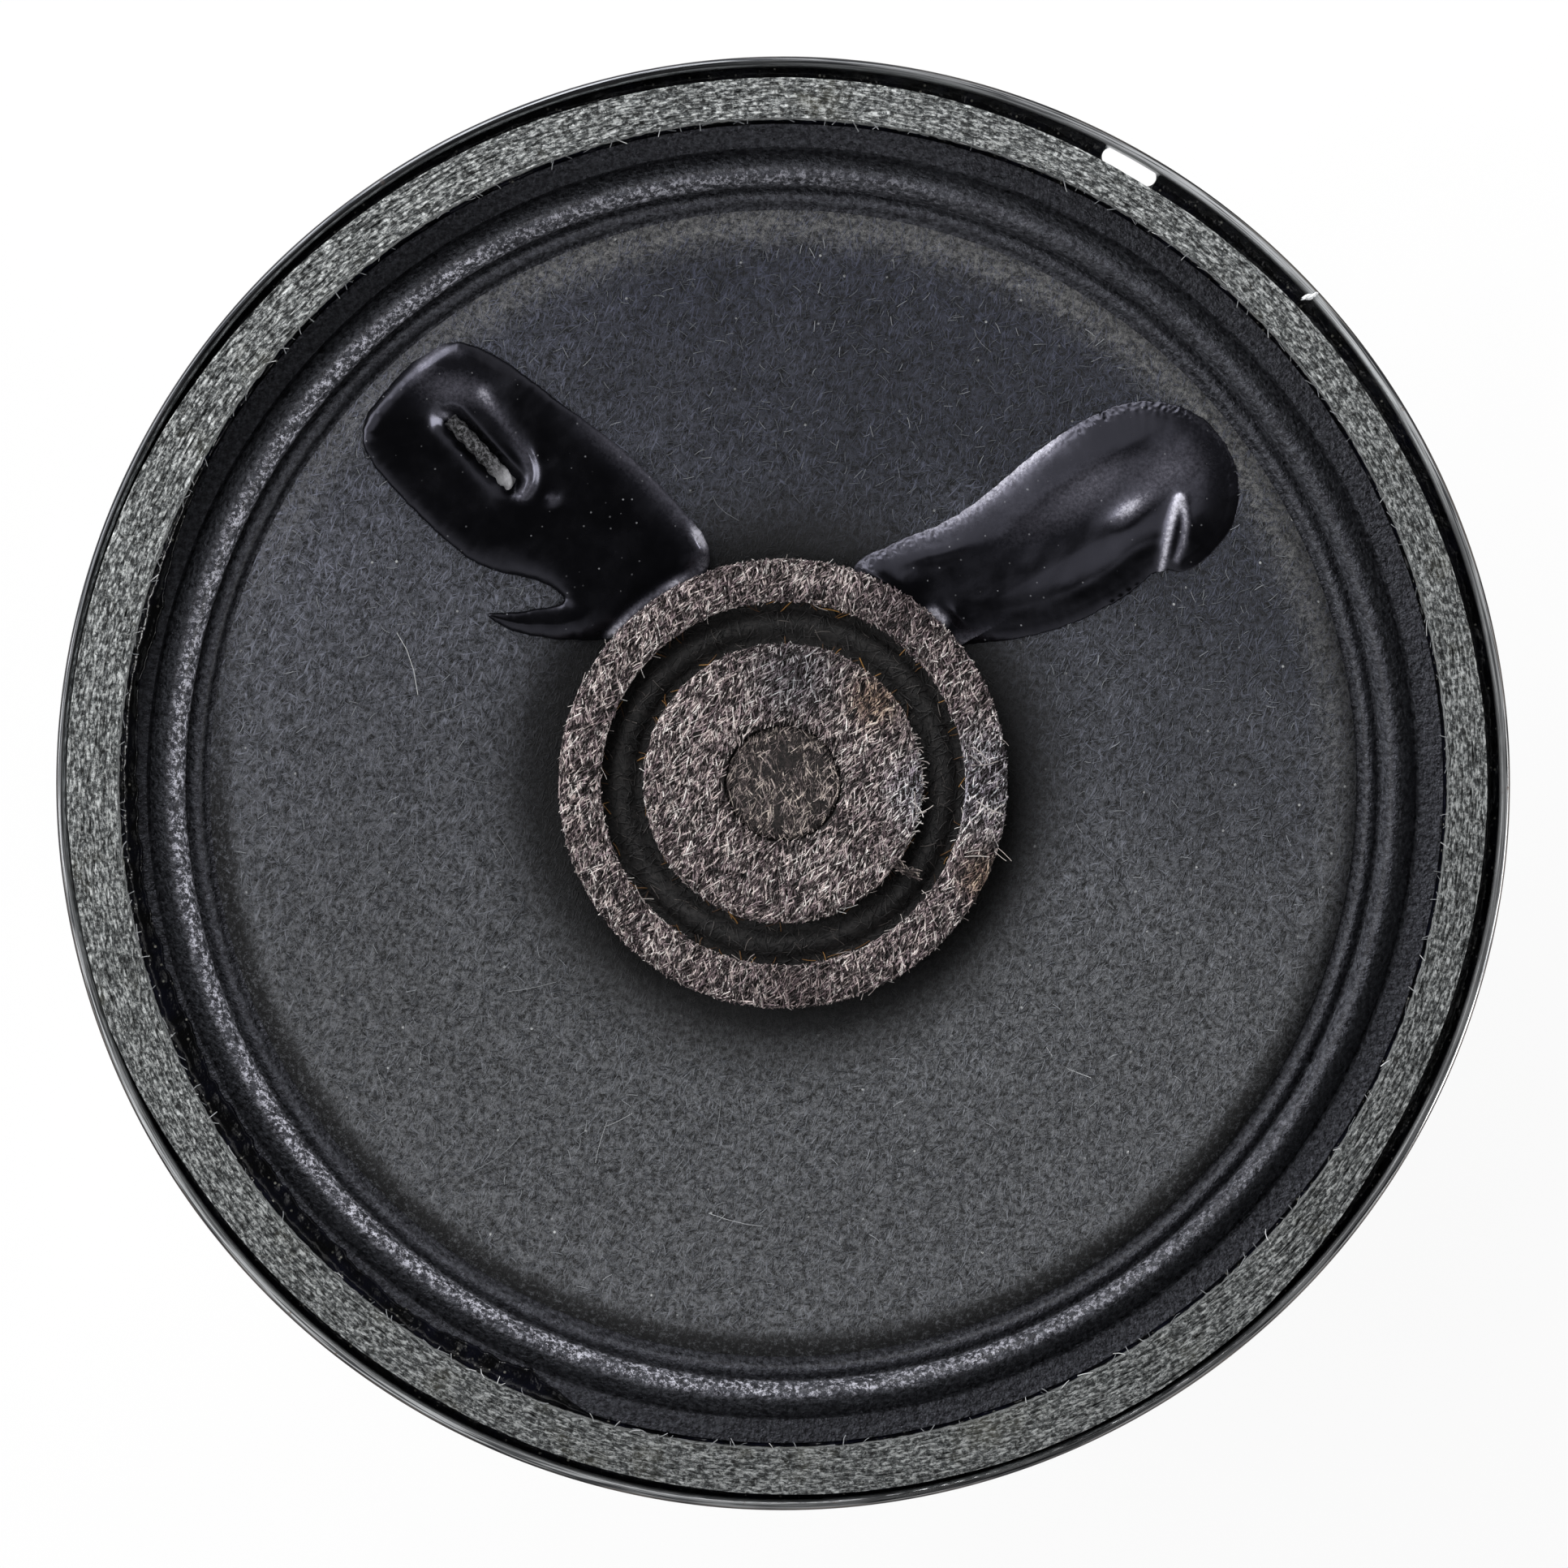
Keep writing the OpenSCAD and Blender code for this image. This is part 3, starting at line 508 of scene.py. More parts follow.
slot = prism("slot_punch", bean(27.825, 0.75, 3.3), 20.4, 21.3)
slot.transform(Matrix.Rotation(math.radians(slot_angle), 4, "Z"))
cutters = [grown(name, around_axis, None, {"One": punch, "Count": 4, "Start": math.pi / 4})
           for name, punch in zip(("window_punches", "rivet_punches"), punches)] + [put(slot)]
for cutter in cutters:
    cut = basket.modifiers.new(cutter.name, "BOOLEAN")
    cut.object = cutter
    cut.solver = "EXACT"
settled(basket)
basket.data.materials.clear()
basket.data.materials.append(basket_zinc)
shade(basket.data)
for tool in cutters + punches:
    bpy.data.objects.remove(tool)
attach(basket, "chassis")
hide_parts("basket")

# A burr that the trimming tool left on the lip, of torn bright metal.
burr_angle, burr_r, burr_z = 42.7, 28.14, 22.62
burr_turn = Matrix.Rotation(math.radians(burr_angle), 3, "Z")
work = bmesh.new()
bmesh.ops.create_icosphere(work, subdivisions=3, radius=0.42 * mm)
for v in work.verts:
    v.co *= 0.8 + 0.9 * noise.noise(v.co / (0.26 * mm) + Vector((3, 1, 7)))
    v.co = burr_turn @ Vector((burr_r * mm + 0.85 * v.co.x, 0.3 * v.co.y - 0.35 * v.co.x,
                               burr_z * mm + 0.26 * v.co.z))
mesh = bpy.data.meshes.new("lip_burr")
work.to_mesh(mesh)
work.free()
mesh.materials.append(plated("torn_zinc", "#f2f3f4", "#d9dbdd", 0.6, 0.08))
burr = put(mesh)
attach(burr, "chassis")

# Rivets: soft steel, nickel plated, their heads closed by a snap tool to a low dome.
nickel = plated("nickel_plated_steel", "#c3c2bd", "#9b9a94", 0.3, 0.1)


def rivet_outline(r, z0, z1, head_r, head_h, foot_r=0.0, foot_h=0.0):
    """Half section of a rivet: shank, domed head above z1, and a closed foot below z0."""
    dome = [(head_r * math.cos(a), z1 + head_h * (0.25 + 0.75 * math.sin(a)))
            for a in np.linspace(0, math.pi / 2, 7)]
    foot = [(foot_r * math.cos(a), z0 - foot_h * math.sin(a))
            for a in np.linspace(math.pi / 2, 0, 6)] if foot_r else [(0, z0)]
    return foot + [(r, z0), (r, z1), (head_r, z1)] + dome


one = spun("seat_rivet", rivet_outline(0.6, 10.4, 12.8, 1.02, 0.36), 32)
one.transform(Matrix.Translation((rivet_circle_r * mm, 0, 0)))
pattern = put(one)
rivets = grown("seat_rivets", around_axis, None,
               {"One": pattern, "Count": 4, "Start": math.pi / 4, "Finish": nickel})
bpy.data.objects.remove(pattern)
shade(rivets.data)
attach(rivets, "chassis")
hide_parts("plate_rivets")


# Terminal board with its two solder lugs, rivets and solder.
# The board is punched from brown phenolic paper laminate and riveted under the basket's spoke.
# The lugs are tinned brass strip, riveted to it, and the leads are soldered to their inner ends.

# Phenolic paper laminate (pertinax): brown resin over paper, with darker fibre flecks.
phenolic, tree, shader = new_material("phenolic_paper_laminate")
place = in_mm(tree)
along = add(tree, "Mapping", {"Vector": place, "Scale": (1 / 1.6, 1 / 0.22, 1 / 0.12)})
fleck, tone = mottled(tree, along, 1, 4.0, 0.6, [(0.35, "#4a2c16"), (0.68, "#7d5230")])
relief = add(tree, "Bump", {"Height": fleck, "Strength": 0.2, "Distance": 0.02 * mm})
feed(shader, {"Base Color": tone, "Roughness": 0.42, "IOR": 1.6, "Normal": relief})
# Hot-tinned brass: yellowish silver. Solid brass for the rivets: yellow, fingered dull.
tinned = plated("tinned_brass", "#cfc8b4", "#a3936c", 0.32, 0.15)
brass = plated("rivet_brass", "#c9a95c", "#8e7340", 0.34, 0.12)

from_cad("board_punched", "terminal_board", "chassis", phenolic, round_edges=0.06)
from_cad("lug_left_punched", "terminal_lug_left", "chassis", tinned,
         round_edges=0.05)
from_cad("lug_right_punched", "terminal_lug_right", "chassis", tinned,
         round_edges=0.05)

board_y, lug_x = 18.58, 7.3


def finished(mesh, material, angle=32):
    """Puts a mesh in the scene in its material, smooth but for edges past the angle."""
    mesh.materials.append(material)
    shade(mesh, angle)
    return put(mesh)


big = spun("board_rivet_set", rivet_outline(0.75, 14.05, 15.65, 1.39, 0.37, 1.39, 0.37), 40)
big.transform(Matrix.Translation((0, board_y * mm, 0)))
piece = finished(big, nickel)
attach(piece, "chassis")
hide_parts("board_rivet")

small = bmesh.new()
for side in (-1, 1):
    part = spun("part", rivet_outline(0.6, 13.65, 14.9, 0.96, 0.3, 0.96, 0.3), 32)
    part.transform(Matrix.Translation((side * lug_x * mm, board_y * mm, 0)))
    small.from_mesh(part)
mesh = bpy.data.meshes.new("lug_rivets_set")
small.to_mesh(mesh)
small.free()
piece = finished(mesh, brass)
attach(piece, "chassis")
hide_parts("lug_rivets")

# Tin-lead solder: bright, with a frosted skin where it cooled.
solder = plated("tin_lead_solder", "#d3d5d6", "#a6a8aa", 0.24, 0.25)
pad_x, pad_y, lug_z = 7.735, 15.36, 13.65
work = bmesh.new()
for side in (-1, 1):
    drop = bmesh.ops.create_icosphere(work, subdivisions=4, radius=0.85 * mm)["verts"]
    centre = Vector((side * pad_x, pad_y, lug_z)) * mm
    for v in drop:
        lump = noise.noise(v.co / (0.7 * mm) + Vector((side * 5, 2, 3)))
        v.co *= 1 + 0.1 * min(lump, 0.0)
        v.co.z = min(v.co.z, 0.0)
        v.co += centre
mesh = bpy.data.meshes.new("solder_drops")
bmesh.ops.remove_doubles(work, verts=work.verts, dist=0.002 * mm)
work.to_mesh(mesh)
work.free()
drops = finished(mesh, solder, 60)
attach(drops, "chassis")
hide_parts("solder_joints")


# Voice coil on its former.
# Enamelled copper wire is wound in one close layer on a rolled kraft-paper tube. The tube is
# glued to the cone's neck and to the spider's collar, and hangs in the magnet's gap.


def grained(name, size, detail, roughness, stops, values, relief=None):
    """A finish of one pattern: its tones, the shader's values, and a relief's strength and mm."""
    material, tree, shader = new_material(name)
    pattern, tone = mottled(tree, in_mm(tree), size, detail, roughness, stops)
    feed(shader, {"Base Color": tone, **values})
    if relief:
        strength, depth = relief
        bump = add(tree, "Bump", {
            "Height": pattern, "Strength": strength, "Distance": depth * mm})
        feed(shader, {"Normal": bump})
    return material


# Enamelled copper: red-brown metal under a clear varnish.
copper = grained("enamelled_copper", 0.8, 3.0, 0.5, [(0.0, "#7a3b1c"), (1.0, "#b5683a")],
                 {"Metallic": 0.9, "Roughness": 0.3, "Coat Weight": 0.6,
                  "Coat Roughness": 0.12})
# Kraft paper: tan, fibrous, matt.
kraft = grained("kraft_paper", 0.25, 6.0, 0.7, [(0.3, "#8d6c3f"), (0.7, "#bd9c68")],
                {"Roughness": 0.85}, (0.3, 0.03))


def tube_round(tree, into, line, sides):
    """A closed tube round a line, as thick as the tree's Wire input says."""
    half = add(tree, "Math", {0: into["Wire"], 1: 0.5}, operation="MULTIPLY")
    section = add(tree, "GeometryNodeCurvePrimitiveCircle", {"Resolution": sides, "Radius": half})
    return add(tree, "GeometryNodeCurveToMesh", {
        "Curve": line, "Profile Curve": section, "Fill Caps": True})


tree, into, out = new_growth("wound_wire", Turns="Float", Radius="Float", Height="Float",
                             Wire="Float", Lift="Float", Finish="Material")
path = add(tree, "GeometryNodeCurveSpiral", {
    "Resolution": 90, "Rotations": into["Turns"], "Start Radius": into["Radius"],
    "End Radius": into["Radius"], "Height": into["Height"]})
tube = tube_round(tree, into, path, 6)
raise_by = add(tree, "CombineXYZ", {"Z": into["Lift"]})
lift = add(tree, "GeometryNodeTransform", {"Geometry": tube, "Translation": raise_by})
smooth = add(tree, "GeometryNodeSetShadeSmooth", {0: lift})
wound_wire = ended(tree, into, out, smooth)

wire_turns, coil_r, coil_low, coil_high, wire = 23.0, 7.15, 9.9, 12.9, 0.125
winding = grown("winding_turns", wound_wire, None, {
    "Turns": wire_turns, "Radius": coil_r * mm, "Height": (coil_high - coil_low - wire) * mm,
    "Wire": wire * mm, "Lift": (coil_low + wire / 2) * mm, "Finish": copper})
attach(winding, "moving_system")
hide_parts("voice_coil")
from_cad("former_tube", "coil_former", "moving_system", kraft)

# The coil's two ends run up the former and out over the cone to the stitches. The right one was
# bent aside where it leaves the cap, and lies under the lead cement there.
tree, into, out = new_growth("drawn_wire", Path="Geometry", Wire="Float", Finish="Material")
line = add(tree, "GeometryNodeMeshToCurve", {0: into["Path"]})
tube = tube_round(tree, into, line, 10)
smooth = add(tree, "GeometryNodeSetShadeSmooth", {0: tube})
drawn_wire = ended(tree, into, out, smooth)

neck_r, neck_z, slope = 7.04, 16.52, 0.34993
left_angle, right_angle = 132.4, 34.0


def cone_z(r):
    """Height of the cone's front face at radius r, on its straight side."""
    return neck_z + (r - neck_r) * slope


def path_through(name, points):
    """A line through points in mm."""
    return new_mesh(name, points, edges=[(i, i + 1) for i in range(len(points) - 1)])


for word, angle, end_r, bend_deg in (("left", left_angle, 15.66, 0.0),
                                     ("right", right_angle, 14.17, 13.0)):
    run = [(7.11, z) for z in (12.96, 14.0, 15.0, 16.2)] + [(7.16, 16.42), (7.3, 16.64)]
    run += [(r, cone_z(r) + 0.09) for r in np.linspace(7.5, end_r, 40)]
    points = []
    for r, z in run:
        rise, fall = min(max((r - 7.3) / 1.3, 0), 1), min(max((r - 9.3) / 3.2, 0), 1)
        aside = rise * rise * (3 - 2 * rise) - fall * fall * (3 - 2 * fall)
        a = math.radians(angle + bend_deg * aside)
        points.append((r * math.cos(a), r * math.sin(a), z))
    name = f"coil_wire_{word}_run"
    piece = grown(name, drawn_wire, path_through(name, points),
                  {"Wire": 0.14 * mm, "Finish": copper})
    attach(piece, "moving_system")
    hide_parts(f"coil_wire_{word}")

# Neck cement: brown-black nitrocellulose, run in round the former and set glossy.
neck_black = grained("neck_cement_set", 0.8, 3.0, 0.5, [(0.0, "#120e0b"), (1.0, "#241c16")],
                     {"Roughness": 0.25}, (0.4, 0.1))
from_cad("neck_fillet", "neck_cement", "moving_system", neck_black)


# Spider: the corrugated disc that centres the coil.
# Open cotton cloth is stiffened with amber resin and pressed hot into rings. Its collar is glued
# to the former and its outer land to the basket's shelf.

# Resin-stiffened cotton: amber brown, threads 0.35 mm apart, with a painted sheen: its colour
# is paler on the crowns of the threads.
resin_cloth, tree, shader = new_material("resin_stiffened_cotton")
place = in_mm(tree)
thread = add(tree, "VectorMath", {0: place, "Scale": 2 * math.pi / 0.35}, operation="SCALE")
thread = add(tree, "VectorMath", {0: thread}, operation="SINE")
axes = add(tree, "SeparateXYZ", {0: thread})
weave = add(tree, "Math", {0: axes.outputs["X"], 1: axes.outputs["Y"]}, operation="MAXIMUM")
tone = add(tree, "ValToRGB", {0: weave}, stops=[(0.1, "#4d3418"), (0.9, "#a17f4b")])
relief = add(tree, "Bump", {"Height": weave, "Strength": 0.6, "Distance": 0.06 * mm})
feed(shader, {"Base Color": tone, "Roughness": 0.45, "Normal": relief})


def ring_in_gores(name, outline, gores, material, node, steps, shape):
    """A ring made as gores, each spun over its own share of the turn.
    """
    sweep = 360 / gores
    for g in range(gores):
        mesh = spun(f"{name}_{g + 1:02d}", outline, steps, shape, g * sweep, sweep)
        piece = finished(mesh, material, 60)
        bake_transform(piece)
        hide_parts(node)


spider_t, wave_h = 0.22, 0.4
spider_in_z = shelf_top + 0.02 + spider_t + 0.15
start_r, land_r, end_r = neck_r + spider_t + 0.15, 12.1 + 0.558, 14.9 - 0.55 - 0.35
crests = [(start_r + (land_r - 0.35 - start_r) * k / 72,
           spider_in_z + wave_h * math.sin(math.radians(360 * 3 * k / 72))) for k in range(73)]
face = [(neck_r, spider_in_z + 0.15 - 0.7), (neck_r, spider_in_z + 0.15)] + crests + [
    (land_r, shelf_top + 0.02 + spider_t), (end_r, shelf_top + 0.02 + spider_t)]
ring_in_gores("spider_cloth", wall(face, spider_t), 12, resin_cloth, "spider",
              24, None)


# Edge of the cone (surround).
# A ring of thin cotton cloth is doped black and rubbery, pressed into one large roll and one
# small ridge, glued under the cone's rim and clamped flat under the gasket.

# Black doped cloth: matt black with lint in it, and a tacky shine broken into glints, with
# more glints painted on the roll.
doped_cloth, tree, shader = new_material("black_doped_cloth")
place = in_mm(tree)
_, tint = mottled(tree, place, 0.22, 4.0, 0.75, [(0.42, "#0c0d0e"), (0.66, "#4c4e53")])
# Painted glints: pale specks painted on the roll's inner flank, all round but at the upper
# right, stand for light sparkling off dried dope crystals
radius, way = round_axis(tree, place)
flank = add(tree, "MapRange", {"Value": radius, "From Min": 23.42, "From Max": 23.62}, **eased)
beyond = add(tree, "MapRange", {"Value": radius, "From Min": 24.35, "From Max": 23.85}, **eased)
flank = add(tree, "Math", {0: flank, 1: beyond}, operation="MULTIPLY")
away = facing(tree, way, (-0.95, -0.31, 0), -0.8, 0.3)
flank = add(tree, "Math", {0: flank, 1: away}, operation="MULTIPLY")
painted_glint_cluster = patches(tree, place, 1.8, 2.0, 0.5, 0.38, 0.54, 1.0, 0.6)
flank = add(tree, "Math", {0: flank, 1: painted_glint_cluster}, operation="MULTIPLY")
tint = over(tree, tint, "#d8d8e4", patches(tree, place, 0.24, 4.0, 0.85, 0.5, 0.6), flank)
gloss = patches(tree, place, 0.3, 3.0, 0.7, 0.4, 0.62, 0.26, 0.66)
grain = add(tree, "TexNoise", {
    "Vector": place, "Scale": 1 / 0.2, "Detail": 3.0, "Roughness": 0.65})
relief = add(tree, "Bump", {"Height": grain, "Strength": 1.0, "Distance": 0.22 * mm})
feed(shader, {"Base Color": tint, "Roughness": gloss, "Specular Tint": colour("#ddddf2"),
              "Coat Weight": 0.2, "Coat Roughness": 0.4, "Normal": relief})

edge_t, roll_h, ridge_h = 0.25, 0.85, 0.28
gasket_in_r, groove_1_r, groove_2_r, groove_3_r = 26.05, 24.9, 23.4, 22.65
land_z, groove_z = flange_top + 0.27, flange_top + 0.02
rim_r, rim_z = 22.55, groove_z + 0.04 + 0.35


def wave(r0, r1, z, h, n, lean=0.0):
    """Half-wave from r0 to r1; lean draws its crest towards r0."""
    shares = np.linspace(0, 1, n + 1)
    return [(r0 + (r1 - r0) * s, z + h * math.sin(math.pi * s ** (1 - lean))) for s in shares]


def crumpled(points):
    """Small lumps where the dope dried unevenly."""
    out = points.copy()
    for i, p in enumerate(points):
        lump = noise.noise(Vector(p) / 0.55) + 0.5 * noise.noise(Vector(p) / 0.2)
        out[i, 2] += 0.018 * lump
    return out


face = ([(rim_r - 1.2, groove_z), (groove_3_r, groove_z)]
        + wave(groove_3_r + 0.06, groove_2_r, groove_z, ridge_h, 12)
        + wave(groove_2_r + 0.06, groove_1_r, groove_z, roll_h, 28, 0.25)
        + [(groove_1_r + 0.12, land_z), (25.6, land_z), (26.6, land_z), (27.4, land_z)])
ring_in_gores("edge_cloth", wall(face, edge_t), 18, doped_cloth, "surround",
              36, crumpled)


# Gasket: a ring of grey vulcanised fibre strip, wound on edge and cemented on the land.
# Its layers run round the ring, its cut inner edge is frayed, and its ends overlap at the left.

outer_at = [(0, 27.58), (30, 27.52), (60, 27.39), (90, 27.65), (120, 27.7), (140, 27.8),
            (155, 28.0), (180, 28.06), (200, 28.05), (213, 27.78), (240, 27.68), (260, 27.8),
            (290, 27.96), (312, 27.92), (330, 27.5)]
gasket_low, gasket_top, strip_w = 21.34, 23.04, 1.55


def strip_edge(angles):
    """Outer radius of the fibre strip at these angles, in degrees."""
    table = np.array(outer_at)
    a = np.concatenate([table[-2:, 0] - 360, table[:, 0], table[:2, 0] + 360])
    r = np.concatenate([table[-2:, 1], table[:, 1], table[:2, 1]])
    return np.interp(angles % 360, a, r)


def layered(points):
    """Sets the strip's outer edge and presses its layers and pits into its top."""
    out = points.copy()
    r = np.hypot(points[:, 0], points[:, 1])
    angle = np.arctan2(points[:, 1], points[:, 0])
    share = (r - gasket_in_r) / strip_w
    wander = np.array([noise.noise(Vector((3 * math.cos(a), 3 * math.sin(a), 9)))
                       + 0.5 * noise.noise(Vector((14 * math.cos(a), 14 * math.sin(a), 4)))
                       for a in angle])
    width = strip_edge(np.degrees(angle)) - gasket_in_r + 0.03 * wander
    radius = gasket_in_r + share * width
    for i, (a, s, z) in enumerate(zip(angle, share, points[:, 2])):
        ragged = noise.noise(Vector((90 * math.cos(a), 90 * math.sin(a), z * 2)))
        radius[i] += (0.05 * ragged + 0.02) * (s < 0.01) * (z > gasket_low + 0.1)
        if z > gasket_top - 0.12:
            groove = noise.noise(Vector((40 * math.cos(a), 40 * math.sin(a), radius[i] * 11)))
            pit = noise.noise(Vector((110 * math.cos(a), 110 * math.sin(a), radius[i] * 16)))
            out[i, 2] -= 0.02 + 0.14 * s + 0.2 * max(groove - 0.1, 0) + 0.1 * max(pit, 0)
    out[:, 0], out[:, 1] = radius * np.cos(angle), radius * np.sin(angle)
    return out


# Vulcanised fibre: grey-green paper board, its grain drawn round the ring, dusty and matt.
fibre_board, tree, shader = new_material("grey_fibre_strip")
place = in_mm(tree)
radius, way = round_axis(tree, place)
# One turn of the ring is 170 mm: grain 0.34 mm long and 0.08 mm wide, on the top and the sides
round_by = add(tree, "VectorMath", {0: way, "Scale": 27 / 0.34}, operation="SCALE")
axes = add(tree, "SeparateXYZ", {0: place})
across = add(tree, "Math", {0: radius, 1: axes.outputs["Z"]}, operation="ADD")
across = add(tree, "Math", {0: across, 1: 1 / 0.08}, operation="MULTIPLY")
grain = add(tree, "TexNoise", {
    "Vector": round_by, "W": across, "Scale": 1.0, "Detail": 5.0, "Roughness": 0.72},
    noise_dimensions="4D")
tint = add(tree, "ValToRGB", {0: grain}, stops=[
    (0.4, "#0f1010"), (0.5, "#565a5b"), (0.61, "#dcdfdf")])
# Dust in its pores is pale, and open pits are painted dark as painted shade
speck = add(tree, "TexNoise", {
    "Vector": place, "Scale": 1 / 0.16, "Detail": 3.0, "Roughness": 0.75})
for code, start, end, most in (("#d0d3d1", 0.52, 0.7, 0.8), ("#0e0f10", 0.45, 0.33, 0.85)):
    share = add(tree, "MapRange", {
        "Value": speck, "From Min": start, "From Max": end, "To Max": most})
    tint = over(tree, tint, code, share)
tint = over(tree, tint, "#77735a", patches(tree, place, 4.0, 4.0, 0.6, 0.58, 0.75, 0.35))
# Painted shade: the strip is painted darker towards its lower right, the side away from the light
tint = over(tree, tint, "#4c4f50", facing(tree, way, (0.5, -0.87, 0), -0.6, 1.0, 0.34),
            way="MULTIPLY")
relief = add(tree, "Bump", {"Height": grain, "Strength": 1.0, "Distance": 0.15 * mm})
feed(shader, {"Base Color": tint, "Roughness": 0.88, "Normal": relief})

top = [(gasket_in_r + strip_w * k / 34, gasket_top) for k in range(35)]
outline = ([(gasket_in_r, gasket_low), (gasket_in_r, 22.0), (gasket_in_r, 22.7)] + top
           + [(gasket_in_r + strip_w, 22.6), (gasket_in_r + strip_w, gasket_low)])
gasket = finished(spun("gasket_strip", outline, 1200, layered), fibre_board, 80)
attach(gasket, "chassis")
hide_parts("gasket_ring")

# Black contact cement: it fills the trough outside the gasket and is squeezed out in a wavy
# bead along its inner edge. It set glossy, with dust stuck to it.


def specks(tree, place, apart, size):
    """Share of dust at each point: round specks of this size, about this far apart, in mm."""
    cell = add(tree, "TexVoronoi", {"Vector": place, "Scale": 1 / apart})
    near = add(tree, "MapRange", {
        "Value": cell.outputs["Distance"], "From Min": 0.8 * size / apart,
        "From Max": 0.4 * size / apart})
    paler = add(tree, "MapRange", {
        "Value": cell.outputs["Color"], "From Min": 0.3, "From Max": 0.85})
    return add(tree, "Math", {0: near, 1: paler}, operation="MULTIPLY")


cement, tree, shader = new_material("black_contact_cement")
place = in_mm(tree)
flow, tint = mottled(tree, place, 1.2, 4.0, 0.6, [(0.42, "#040405"), (0.66, "#090a15")])
tint = over(tree, tint, "#8f8e86", specks(tree, place, 0.32, 0.08))
wrinkled = add(tree, "TexNoise", {"Vector": place, "Scale": 1 / 0.22, "Detail": 2.0})
wrinkled = add(tree, "Math", {0: wrinkled, 1: 0.5, 2: flow}, operation="MULTIPLY_ADD")
relief = add(tree, "Bump", {"Height": wrinkled, "Strength": 0.6, "Distance": 0.12 * mm})
feed(shader, {"Base Color": tint, "Roughness": 0.17, "Normal": relief})


bead_r, bead_w = 26.03, 0.4
# Width of the squeezed-out cement by angle: broad pools at the left and lower left
pool = [(0, 0.1), (100, 0.12), (150, 0.16), (158, 0.35), (166, 0.72), (171, 0.45), (176, 0.6),
        (190, 0.7), (200, 0.82), (214, 0.86), (226, 0.78), (234, 0.62), (239, 0.68), (243, 0.88),
        (247, 0.9), (250, 0.5), (253, 0.12), (300, 0.1), (360, 0.1)]


def bead(points):
    """Spreads the bead to the pool's width, with a ragged rounded edge."""
    out = points.copy()
    angle = np.degrees(np.arctan2(points[:, 1], points[:, 0])) % 360
    r = np.hypot(points[:, 0], points[:, 1])
    wide = np.interp(angle, *np.array(pool).T)
    for i, (a, radius, z, w) in enumerate(zip(angle, r, points[:, 2], wide)):
        c, s = math.cos(math.radians(a)), math.sin(math.radians(a))
        quick = noise.noise(Vector((34 * c, 34 * s, 5)))
        ragged = noise.noise(Vector((110 * c, 110 * s, 2)))
        width = w * (1 + 0.2 * quick + 0.1 * ragged)
        share = (bead_r - radius) / bead_w
        radius = bead_r - max(width, 0.04) * share
        swell = 1 + 0.6 * noise.noise(Vector((70 * c, 70 * s, radius * 4)))
        out[i] = (radius * c, radius * s, gasket_low + (z - gasket_low) * swell)
    return out


outline = [(bead_r, gasket_low)] + [
    (bead_r - bead_w * s, gasket_low + h) for s, h in (
        (1, 0), (0.99, 0.05), (0.96, 0.1), (0.9, 0.13), (0.75, 0.12), (0.5, 0.1), (0.3, 0.13),
        (0.12, 0.24), (0, 0.42))]
piece = finished(spun("gasket_squeeze_out", outline, 1200, bead), cement, 70)
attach(piece, "chassis")
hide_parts("gasket_cement")


trough_r, trough_w, trough_end_r, trough_low, trough_high = 27.62, 0.46, 28.08, 21.32, 21.88


def trough(points):
    """Cement between the strip and the lip, drawn up a little at both sides."""
    out = points.copy()
    angle = np.degrees(np.arctan2(points[:, 1], points[:, 0])) % 360
    r = np.hypot(points[:, 0], points[:, 1])
    inner = strip_edge(angle) - 0.08
    share = (r - trough_r) / trough_w
    radius = inner + share * (trough_end_r - inner)
    for i, (a, z) in enumerate(zip(angle, points[:, 2])):
        c, s = math.cos(math.radians(a)), math.sin(math.radians(a))
        if z > 21.5:
            sag = 0.12 * math.sin(math.pi * share[i])
            ripple = 0.05 * noise.noise(Vector((60 * c, 60 * s, radius[i] * 5)))
            out[i, 2] = z - sag + ripple
        out[i, 0], out[i, 1] = radius[i] * c, radius[i] * s
    return out


gap = 2.46
outline = [(trough_r, trough_low)]
outline += [(trough_r + trough_w * k / 8, trough_high) for k in range(9)]
outline += [(trough_end_r, trough_low)]
mesh = spun("rim_cement_fill", outline, 900, trough, slot_angle + gap, 360 - 2 * gap)
piece = finished(mesh, cement, 70)
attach(piece, "chassis")
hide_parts("rim_cement")


# Cone: pressed from charcoal-dyed paper pulp, stiff and matt.
# Its neck is glued round the former. Loose fibres of the pulp lie in its face in all directions,
# with a little dust and lint on top.

cap_r, shoulder_r, shoulder_z, cone_t = 8.87, 21.9, 21.72, 0.35

